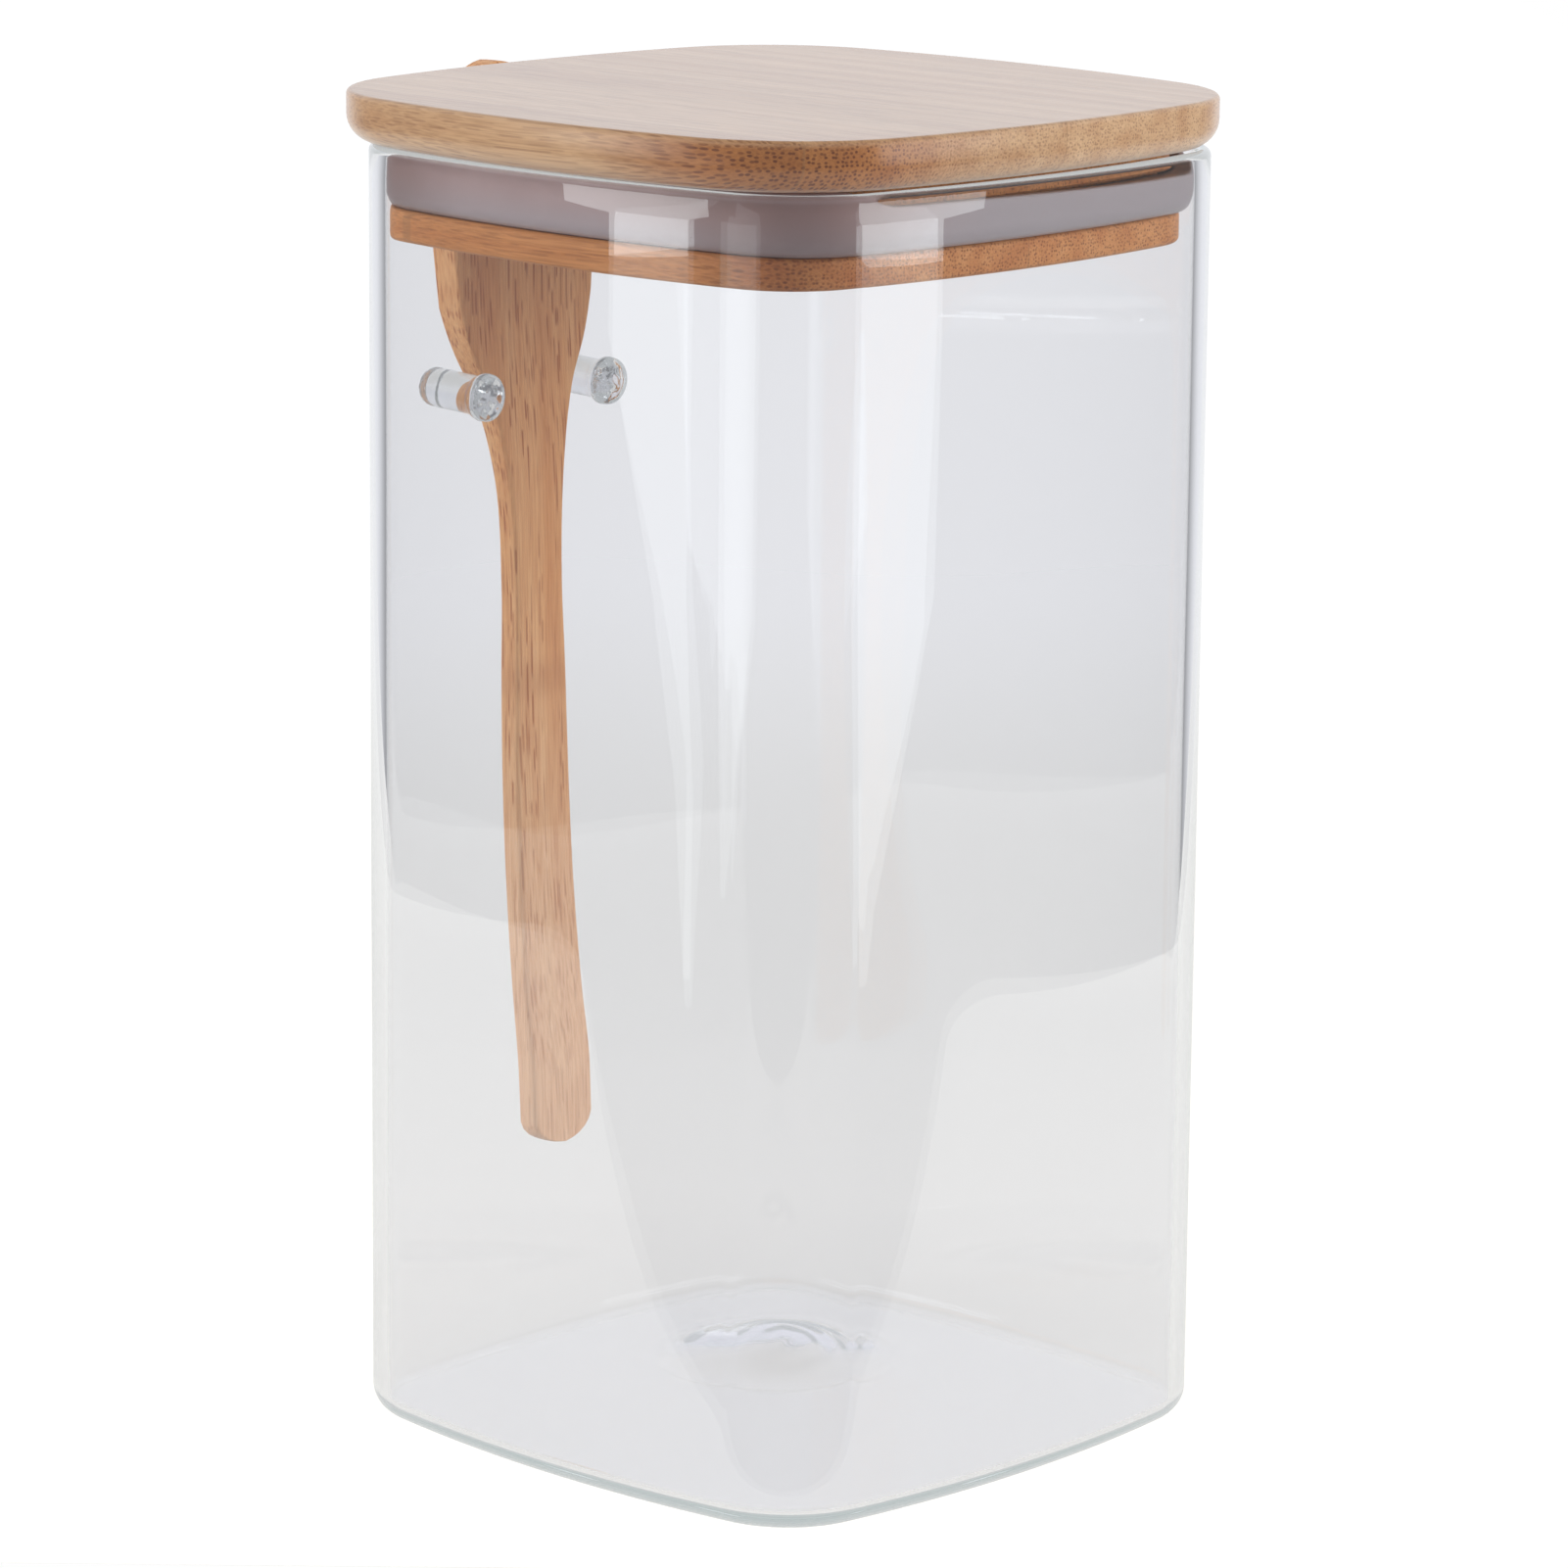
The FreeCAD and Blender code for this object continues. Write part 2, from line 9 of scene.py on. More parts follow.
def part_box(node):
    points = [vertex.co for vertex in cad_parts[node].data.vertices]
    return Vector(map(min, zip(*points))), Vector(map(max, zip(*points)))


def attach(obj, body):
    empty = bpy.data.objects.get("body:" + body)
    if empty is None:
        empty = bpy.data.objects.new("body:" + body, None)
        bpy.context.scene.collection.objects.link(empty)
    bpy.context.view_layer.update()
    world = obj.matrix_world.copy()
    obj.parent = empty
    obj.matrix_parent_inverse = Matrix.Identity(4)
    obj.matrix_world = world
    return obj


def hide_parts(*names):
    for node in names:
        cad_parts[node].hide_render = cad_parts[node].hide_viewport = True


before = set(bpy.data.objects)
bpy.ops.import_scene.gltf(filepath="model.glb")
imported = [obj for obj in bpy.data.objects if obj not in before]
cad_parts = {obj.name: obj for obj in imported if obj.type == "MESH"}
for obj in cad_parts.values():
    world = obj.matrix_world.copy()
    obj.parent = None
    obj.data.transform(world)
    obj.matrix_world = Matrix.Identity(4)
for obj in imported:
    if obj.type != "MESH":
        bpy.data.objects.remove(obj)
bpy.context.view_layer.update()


# Jar: a square with bowed sides and rounded corners, blown in one piece from clear soda glass.
# The base is pushed up towards the far corner, and there the glass keeps the swirl of its making.
MM = 0.001
JAR_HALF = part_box("jar_body")[1].x
JAR_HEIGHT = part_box("jar_body")[1].z
JAR_BOW = 214 * MM
JAR_CORNER = 16.5 * MM
WALL = 2.3 * MM
RIM_LEAN = 4.5 * MM
FLOOR = 2.5 * MM
HEEL = 4 * MM
HEEL_INSIDE = 1.2 * MM
PUSHUP_RADIUS = 19 * MM
PUSHUP_RISE = 3.4 * MM
PUSHUP_MIDDLE = np.array([-15, -15, 0]) * MM
SWIRL_RADIUS = 8 * MM
SWIRL_WIDTH = 6 * MM
SWIRL_PITCH = 6 * MM
SWIRL_DEPTH = 0.22 * MM
SWIRL_SIDE = math.radians(190)
WALL_WAVE = 0.05 * MM
JAR_GREEN = (0.86, 0.92, 0.915, 1)
# Colour of the painted glow where a ray is caught inside the glass.
JAR_EDGE_GLOW = (0.6, 0.62, 0.62, 1)


def bowed_outline(halves, bows, corner, along_x, along_y, round_corner):
    """Points and outward normals round a rectangle with bowed sides and tangent corner arcs.

    along_x and along_y are the counts of points on the sides that face X and Y.
    """
    shifts = [bow - half for half, bow in zip(halves, bows)]
    x, y = [half - corner for half in halves]
    for _ in range(30):
        x = math.sqrt((bows[0] - corner) ** 2 - y ** 2) - shifts[0]
        y = math.sqrt((bows[1] - corner) ** 2 - x ** 2) - shifts[1]
    swings = math.atan2(y, x + shifts[0]), math.atan2(x, y + shifts[1])
    points, normals = [], []
    for quarter in range(4):
        turn = quarter * math.pi / 2
        cosine, sine = round(math.cos(turn)), round(math.sin(turn))
        facing = quarter % 2
        before, after = swings[facing], swings[1 - facing]
        side_centre = (-shifts[facing] * cosine, -shifts[facing] * sine)
        corner_centre = ((cosine - sine) * x, (cosine + sine) * y)
        arcs = (
            (side_centre, bows[facing], turn - before, turn + before, (along_x, along_y)[facing]),
            (corner_centre, corner, turn + before, turn + math.pi / 2 - after, round_corner),
        )
        for centre, radius, start, end, count in arcs:
            angles = np.linspace(start, end, count, endpoint=False)
            directions = np.column_stack([np.cos(angles), np.sin(angles)])
            points.append(np.array(centre) + radius * directions)
            normals.append(directions)
    return np.concatenate(points), np.concatenate(normals)


def level_ring(outline, inset, height):
    """Ring parallel to an outline, inset from it, at a height. Both may differ from point to point."""
    points, normals = outline
    flat = points - normals * np.reshape(inset, (-1, 1))
    return np.column_stack([flat, np.full(len(flat), height)])


def round_ring(outline, radius, height):
    """Circle with its points in the directions of an outline's points."""
    points = outline[0]
    flat = points / np.linalg.norm(points, axis=1, keepdims=True) * radius
    return np.column_stack([flat, np.full(len(flat), height)])


def skin(name, rings, loop=False):
    """Smooth object of quads between rings. Its two ends close on their middles unless it is a loop."""
    count = len(rings[0])
    vertices = [tuple(point) for ring in rings for point in ring]
    steps = [(level, (level + 1) % len(rings)) for level in range(len(rings) - (not loop))]
    faces = []
    for here, there in steps:
        for index in range(count):
            following = (index + 1) % count
            faces.append((
                here * count + index, here * count + following, there * count + following, there * count + index
            ))
    if not loop:
        for level in (0, len(rings) - 1):
            middle = len(vertices)
            vertices.append(tuple(np.mean(rings[level], axis=0)))
            edge = range(level * count, (level + 1) * count)
            faces += [(middle, edge[index], edge[(index + 1) % count]) for index in range(count)]
    mesh = bpy.data.meshes.new(name)
    mesh.from_pydata(vertices, [], faces)
    shell = bmesh.new()
    shell.from_mesh(mesh)
    bmesh.ops.recalc_face_normals(shell, faces=shell.faces)
    shell.to_mesh(mesh)
    shell.free()
    mesh.shade_smooth()
    piece = bpy.data.objects.new(name, mesh)
    bpy.context.scene.collection.objects.link(piece)
    return piece


def quarter_turn(steps):
    """Angles from 0 to a right angle."""
    return np.linspace(0, math.pi / 2, steps)


def base_rings(outline, inset, floor, swirl):
    """Rings of one face of the base, from its middle out to the heel, rippled by a swirl."""
    rings = [
        round_ring(outline, PUSHUP_RADIUS * share, floor + PUSHUP_RISE * (1 + math.cos(math.pi * share)) / 2)
        + PUSHUP_MIDDLE
        for share in np.linspace(0.04, 1, 40)
    ]
    foot, heel = rings[-1], level_ring(outline, inset, floor)
    rings += [foot + (heel - foot) * share for share in np.linspace(0, 1, 18)[1:]]
    for ring in rings:
        from_middle = ring - PUSHUP_MIDDLE
        radius = np.hypot(from_middle[:, 0], from_middle[:, 1])
        angle = np.arctan2(from_middle[:, 1], from_middle[:, 0])
        window = np.exp(-((radius - SWIRL_RADIUS) / SWIRL_WIDTH) ** 2)
        window *= 0.5 + 0.5 * np.cos(angle - SWIRL_SIDE)
        ring[:, 2] += swirl * window * np.sin(2 * math.pi * radius / SWIRL_PITCH + 2 * angle)
    return rings


jar_outline = bowed_outline((JAR_HALF, JAR_HALF), (JAR_BOW, JAR_BOW), JAR_CORNER, 40, 40, 24)
round_the_jar = np.arctan2(jar_outline[0][:, 1], jar_outline[0][:, 0])
jar_rings = base_rings(jar_outline, HEEL, 0, 0)
for turn in quarter_turn(12)[1:]:
    jar_rings.append(level_ring(jar_outline, HEEL * (1 - math.sin(turn)), HEEL * (1 - math.cos(turn))))
wall_heights = np.append(np.linspace(HEEL, JAR_HEIGHT - RIM_LEAN, 26), JAR_HEIGHT - WALL / 2)
jar_rings += [level_ring(jar_outline, 0, height) for height in wall_heights[1:]]
for turn in np.linspace(0, math.pi, 17)[1:]:
    jar_rings.append(
        level_ring(jar_outline, WALL / 2 * (1 - math.cos(turn)), wall_heights[-1] + WALL / 2 * math.sin(turn))
    )
for height in np.linspace(JAR_HEIGHT - RIM_LEAN, FLOOR + HEEL_INSIDE, 26):
    wave = WALL_WAVE * np.sin(3 * round_the_jar + height * 70) * math.sin(math.pi * height / JAR_HEIGHT)
    jar_rings.append(level_ring(jar_outline, WALL + wave, height))
for turn in quarter_turn(12)[1:]:
    inset = WALL + HEEL_INSIDE * (1 - math.cos(turn))
    jar_rings.append(level_ring(jar_outline, inset, FLOOR + HEEL_INSIDE * (1 - math.sin(turn))))
jar_rings += base_rings(jar_outline, WALL + HEEL_INSIDE, FLOOR, SWIRL_DEPTH)[-2::-1]
jar = skin("glass_jar", jar_rings)


def add_node(tree, kind, inputs=None, **properties):
    """Node of a kind in a tree. An input takes a value or another node's socket."""
    made = tree.nodes.new(kind)
    for name, setting in properties.items():
        setattr(made, name, setting)
    for place, feed in (inputs or {}).items():
        if isinstance(feed, bpy.types.NodeSocket):
            tree.links.new(feed, made.inputs[place])
        else:
            made.inputs[place].default_value = feed
    return made


def new_material(name):
    material = bpy.data.materials.new(name)
    material.use_nodes = True
    material.node_tree.nodes.clear()
    return material, material.node_tree


def object_point(tree):
    """Place on the piece, in metres of the shared frame."""
    return add_node(tree, "ShaderNodeTexCoord").outputs["Object"]


def finish_glass(tree, body):
    """Close a glass material: light and shade pass straight through, and thick glass is a little green.

    A ray that is caught between the faces ends in a painted glow, an emission in the grey-green that such an edge
    shows.
    """
    path = add_node(tree, "ShaderNodeLightPath")
    unbent = add_node(tree, "ShaderNodeMath", {
        0: path.outputs["Is Shadow Ray"], 1: path.outputs["Is Diffuse Ray"]
    }, operation="MAXIMUM")
    straight = add_node(tree, "ShaderNodeBsdfTransparent", {"Color": (1, 1, 1, 1)})
    passed = add_node(tree, "ShaderNodeMixShader", {
        0: unbent.outputs[0], 1: body.outputs[0], 2: straight.outputs[0]
    })
    caught = add_node(tree, "ShaderNodeMath", {0: path.outputs["Glossy Depth"], 1: 2.5}, operation="GREATER_THAN")
    # Painted glow: a ray caught between the glass faces ends in this emission, not in light from the scene.
    edge_light = add_node(tree, "ShaderNodeEmission", {"Color": JAR_EDGE_GLOW, "Strength": 1.0})
    surface = add_node(tree, "ShaderNodeMixShader", {
        0: caught.outputs[0], 1: passed.outputs[0], 2: edge_light.outputs[0]
    })
    tint = add_node(tree, "ShaderNodeVolumeAbsorption", {"Color": JAR_GREEN, "Density": 12.0})
    add_node(tree, "ShaderNodeOutputMaterial", {"Surface": surface.outputs[0], "Volume": tint.outputs[0]})


jar_glass, tree = new_material("jar_glass")
smudge = add_node(tree, "ShaderNodeTexNoise", {"Vector": object_point(tree), "Scale": 45.0, "Detail": 3.0})
smudge_rough = add_node(tree, "ShaderNodeMapRange", {
    "Value": smudge.outputs["Fac"], "From Min": 0.5, "From Max": 0.8, "To Min": 0.0, "To Max": 0.012
})
ripple = add_node(tree, "ShaderNodeTexNoise", {"Vector": object_point(tree), "Scale": 22.0, "Detail": 1.0})
uneven = add_node(tree, "ShaderNodeBump", {
    "Height": ripple.outputs["Fac"], "Strength": 0.05, "Distance": 0.6 * MM
})
clear_glass = add_node(tree, "ShaderNodeBsdfPrincipled", {
    "Base Color": (0.94, 0.94, 0.955, 1),
    "Roughness": smudge_rough.outputs[0],
    "IOR": 1.5,
    "Transmission Weight": 1.0,
    "Normal": uneven.outputs[0],
})
finish_glass(tree, clear_glass)
jar.data.materials.append(jar_glass)
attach(jar, "jar")
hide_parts("jar_body")


# Pegs: two short rods of clear glass, melted on to the front wall to carry the spoon.
# The weld spreads at the root and traps small hollows, and the tip is a lumpy, half frosted bead.
PEG_HEIGHT = 147.7 * MM
PEG_TILT = math.radians(2)
PEG_LENGTH = 13 * MM
PEG_RADIUS = 3 * MM
WELD_RADIUS = 3.65 * MM
WELD_GAP = 0.03 * MM
WELD_HOLLOW = 0.5 * MM
WELD_HOLLOW_SIZE = 0.9 * MM
BEAD_START = 10.4 * MM
BEAD_FROSTED = 11.4 * MM
BEAD_LUMP = 0.1 * MM
BEAD_LUMP_SIZE = 0.8 * MM
PEG_STATIONS = [
    (0.6 * MM, WELD_RADIUS),
    (1.0 * MM, 3.5 * MM),
    (1.5 * MM, 3.15 * MM),
    (2.1 * MM, PEG_RADIUS),
    (4.0 * MM, 2.96 * MM),
    (7.0 * MM, 2.96 * MM),
    (9.7 * MM, PEG_RADIUS),
    (10.1 * MM, 2.9 * MM),
    (BEAD_START, 2.82 * MM),
    (10.7 * MM, 2.9 * MM),
    (11.0 * MM, 2.98 * MM),
]
BEAD_ROUND = 2 * MM
PEG_SPOKES = 56


def lumps(point, size, amount):
    """Smooth uneven lift between minus and plus amount."""
    return amount * noise.noise(Vector(point) / size)


def wall_face(x):
    """Y of the jar's front face at an x."""
    return -(math.sqrt(JAR_BOW ** 2 - x ** 2) - (JAR_BOW - JAR_HALF))


def peg(side):
    low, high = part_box(f"peg_{side}")
    root = np.array([(low.x + high.x) / 2, -JAR_HALF, PEG_HEIGHT])
    outward = np.array([0, -math.cos(PEG_TILT), math.sin(PEG_TILT)])
    across = np.array([1, 0, 0])
    upright = np.cross(across, outward)
    spokes = np.linspace(0, 2 * math.pi, PEG_SPOKES, endpoint=False)
    directions = [across * math.cos(angle) + upright * math.sin(angle) for angle in spokes]
    rings = []
    for share in np.linspace(0.08, 1, 14):
        ring = np.array([root + direction * WELD_RADIUS * 0.97 * share for direction in directions])
        for point in ring:
            hollow = max(0, lumps(point, WELD_HOLLOW_SIZE, 1.6)) * WELD_HOLLOW * (1 - share ** 6)
            point[1] = wall_face(point[0]) - WELD_GAP - hollow
        rings.append(ring)
    bead_tops = [
        (PEG_LENGTH - BEAD_ROUND * (1 - math.sin(turn)), PEG_RADIUS - BEAD_ROUND * (1 - math.cos(turn)))
        for turn in quarter_turn(9)
    ]
    for along, radius in PEG_STATIONS + bead_tops:
        centre = root + outward * along
        ring = []
        for direction in directions:
            place = centre + direction * radius
            rough = BEAD_LUMP if along > BEAD_START else BEAD_LUMP * 0.5 if along < 2 * MM else 0
            ring.append(place - direction * abs(lumps(place, BEAD_LUMP_SIZE, 2)) * rough)
        rings.append(np.array(ring))
    piece = skin(f"glass_peg_{side}", rings)
    piece.data.materials.append(peg_glass)
    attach(piece, "jar")
    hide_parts(f"peg_{side}")


peg_glass, tree = new_material("peg_glass")
place = add_node(tree, "ShaderNodeSeparateXYZ", {"Vector": object_point(tree)})
on_bead = add_node(tree, "ShaderNodeMapRange", {
    "Value": place.outputs["Y"], "From Min": -JAR_HALF - BEAD_START, "From Max": -JAR_HALF - BEAD_FROSTED
})
mottle = add_node(tree, "ShaderNodeTexNoise", {"Vector": object_point(tree), "Scale": 900.0, "Detail": 2.0})
frost = add_node(tree, "ShaderNodeMath", {0: on_bead.outputs[0], 1: mottle.outputs["Fac"]}, operation="MULTIPLY")
frost_rough = add_node(tree, "ShaderNodeMath", {0: frost.outputs[0], 1: 0.45}, operation="MULTIPLY")
drawn = add_node(tree, "ShaderNodeBump", {
    "Height": mottle.outputs["Fac"], "Strength": 0.12, "Distance": 0.2 * MM
})
# Painted shade: the rods' grey base colour stands in for the dark that they mirror.
rod_glass = add_node(tree, "ShaderNodeBsdfPrincipled", {
    "Base Color": (0.87, 0.875, 0.875, 1),
    "Roughness": frost_rough.outputs[0],
    "IOR": 1.5,
    "Transmission Weight": 1.0,
    "Normal": drawn.outputs[0],
})
finish_glass(tree, rod_glass)
for side in ("left", "right"):
    peg(side)


# Lid boards: strips of bamboo glued side by side, sanded and thinly lacquered, with the fibres along Y.
# The thick board lies on top and the plug board under it, and the neck between them has a groove for the seal.
LID_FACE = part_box("lid_top")[1].z
LID_BOW = 200 * MM
LID_CORNER = 24 * MM
LID_UPPER_ROUND = 0.7 * MM
LID_LOWER_ROUND = 4 * MM
PLUG_ROUND = 0.8 * MM
PLUG_INSET = 4.4 * MM
NECK_INSET = 7.36 * MM
COLLAR_INSET = 4.9 * MM
COLLAR_HEIGHT = 3.6 * MM
STRIP_WIDTH = 22 * MM
GLUE_LINE = 0.14 * MM
EDGE_FLAT = 0.3 * MM
NECK_CORE = 30 * MM
# The near corner darkens between these reaches: partly denser bundles, partly painted shade that leaves the side
# faces lighter, as if they caught a sheen.
DARK_CORNER_START = 62 * MM
DARK_CORNER_FULL = 86 * MM
DARK_BUNDLE = (0.13, 0.032, 0.006, 1)


def board(name, node, bow, corner, lower_round, upper_round, finish):
    """Board of a node's size with rounded edges, from the middle of its underside to that of its top."""
    low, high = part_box(node)
    half = (high.x - low.x) / 2
    outline = bowed_outline((half, half), (bow, bow), corner, 40, 40, 30)
    rings = [level_ring(outline, 0, low.z) * [share, share, 1] for share in (0.2, 0.5, 0.8)]
    rings.append(level_ring(outline, lower_round + EDGE_FLAT, low.z))
    for turn in quarter_turn(10):
        inset, height = lower_round * (1 - math.sin(turn)), low.z + lower_round * (1 - math.cos(turn))
        rings.append(level_ring(outline, inset, height))
    for turn in quarter_turn(8):
        inset, height = upper_round * (1 - math.cos(turn)), high.z - upper_round * (1 - math.sin(turn))
        rings.append(level_ring(outline, inset, height))
    rings.append(level_ring(outline, upper_round + EDGE_FLAT, high.z))
    rings += [level_ring(outline, 0, high.z) * [share, share, 1] for share in (0.8, 0.5, 0.2)]
    middle = np.array([(low.x + high.x) / 2, (low.y + high.y) / 2, 0])
    piece = skin(name, [ring + middle for ring in rings])
    piece.data.materials.append(finish)
    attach(piece, "lid")
    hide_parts(node)


# Bamboo is pale pith with dark bundles of fibre running through it: dots on a cut end, streaks along the grain.
# The group takes a place in millimetres with the fibres along its Z.
fibre_group = bpy.data.node_groups.new("BambooFibre", "ShaderNodeTree")
fibre_group.interface.new_socket("Millimetres", in_out="INPUT", socket_type="NodeSocketVector")
fibre_group.interface.new_socket("Spacing", in_out="INPUT", socket_type="NodeSocketFloat")
fibre_group.interface.new_socket("Broken", in_out="INPUT", socket_type="NodeSocketFloat")
for label in ("Bundles", "Fibres", "Tone"):
    fibre_group.interface.new_socket(label, in_out="OUTPUT", socket_type="NodeSocketFloat")
grown = add_node(fibre_group, "NodeGroupInput")
slow = add_node(fibre_group, "ShaderNodeVectorMath", {
    0: grown.outputs["Millimetres"], 1: (0.05, 0.05, 0.02)
}, operation="MULTIPLY")
wander = add_node(fibre_group, "ShaderNodeTexNoise", {"Vector": slow.outputs[0], "Scale": 1.0, "Detail": 1.0})
sway = add_node(fibre_group, "ShaderNodeVectorMath", {
    0: wander.outputs["Color"], 1: (1.6, 1.6, 0.0)
}, operation="MULTIPLY")
bent = add_node(fibre_group, "ShaderNodeVectorMath", {
    0: grown.outputs["Millimetres"], 1: sway.outputs[0]
}, operation="ADD")
spaced = add_node(fibre_group, "ShaderNodeMath", {0: 1.0, 1: grown.outputs["Spacing"]}, operation="DIVIDE")
cells = add_node(fibre_group, "ShaderNodeTexVoronoi", {
    "Vector": bent.outputs[0], "Scale": spaced.outputs[0], "Randomness": 0.65
}, voronoi_dimensions="2D")
core = add_node(fibre_group, "ShaderNodeMapRange", {
    "Value": cells.outputs["Distance"], "From Min": 0.38, "From Max": 0.22
}, interpolation_type="SMOOTHSTEP")
chance = add_node(fibre_group, "ShaderNodeSeparateColor", {"Color": cells.outputs["Color"]})
along = add_node(fibre_group, "ShaderNodeSeparateXYZ", {"Vector": bent.outputs[0]})
own_start = add_node(fibre_group, "ShaderNodeMath", {0: chance.outputs["Red"], 1: 300.0}, operation="MULTIPLY")
run = add_node(fibre_group, "ShaderNodeMath", {
    0: along.outputs["Z"], 1: 0.14, 2: own_start.outputs[0]
}, operation="MULTIPLY_ADD")
lengths = add_node(fibre_group, "ShaderNodeTexNoise", {
    "W": run.outputs[0], "Scale": 1.0, "Detail": 0.0
}, noise_dimensions="1D")
full = add_node(fibre_group, "ShaderNodeMath", {0: grown.outputs["Broken"], 1: 0.1}, operation="ADD")
dash = add_node(fibre_group, "ShaderNodeMapRange", {
    "Value": lengths.outputs["Fac"], "From Min": grown.outputs["Broken"], "From Max": full.outputs[0]
}, interpolation_type="SMOOTHSTEP")
depth = add_node(fibre_group, "ShaderNodeMapRange", {
    "Value": chance.outputs["Green"], "To Min": 0.55, "To Max": 1.0
})
whole = add_node(fibre_group, "ShaderNodeMath", {0: core.outputs[0], 1: depth.outputs[0]}, operation="MULTIPLY")
bundles = add_node(fibre_group, "ShaderNodeMath", {0: whole.outputs[0], 1: dash.outputs[0]}, operation="MULTIPLY")
hairs = add_node(fibre_group, "ShaderNodeVectorMath", {
    0: bent.outputs[0], 1: (4.0, 4.0, 0.1)
}, operation="MULTIPLY")
fibres = add_node(fibre_group, "ShaderNodeTexNoise", {"Vector": hairs.outputs[0], "Scale": 1.0, "Detail": 3.0})
broad = add_node(fibre_group, "ShaderNodeVectorMath", {
    0: bent.outputs[0], 1: (0.28, 0.28, 0.008)
}, operation="MULTIPLY")
tone = add_node(fibre_group, "ShaderNodeTexNoise", {"Vector": broad.outputs[0], "Scale": 1.0, "Detail": 2.0})
add_node(fibre_group, "NodeGroupOutput", {
    "Bundles": bundles.outputs[0], "Fibres": fibres.outputs["Fac"], "Tone": tone.outputs["Fac"]
})


def mix_colour(tree, blend, factor, first, second):
    """Colour mixed from two others."""
    mixed = add_node(tree, "ShaderNodeMix", {0: factor, 6: first, 7: second}, data_type="RGBA", blend_type=blend)
    return mixed.outputs[2]


def ramp(tree, value, stops):
    """Colours along a value."""
    made = add_node(tree, "ShaderNodeValToRGB", {"Fac": value})
    elements = made.color_ramp.elements
    for number, (position, colour) in enumerate(stops):
        if number >= len(elements):
            elements.new(position)
        elements[number].position = position
        elements[number].color = (*colour, 1)
    return made.outputs["Color"]


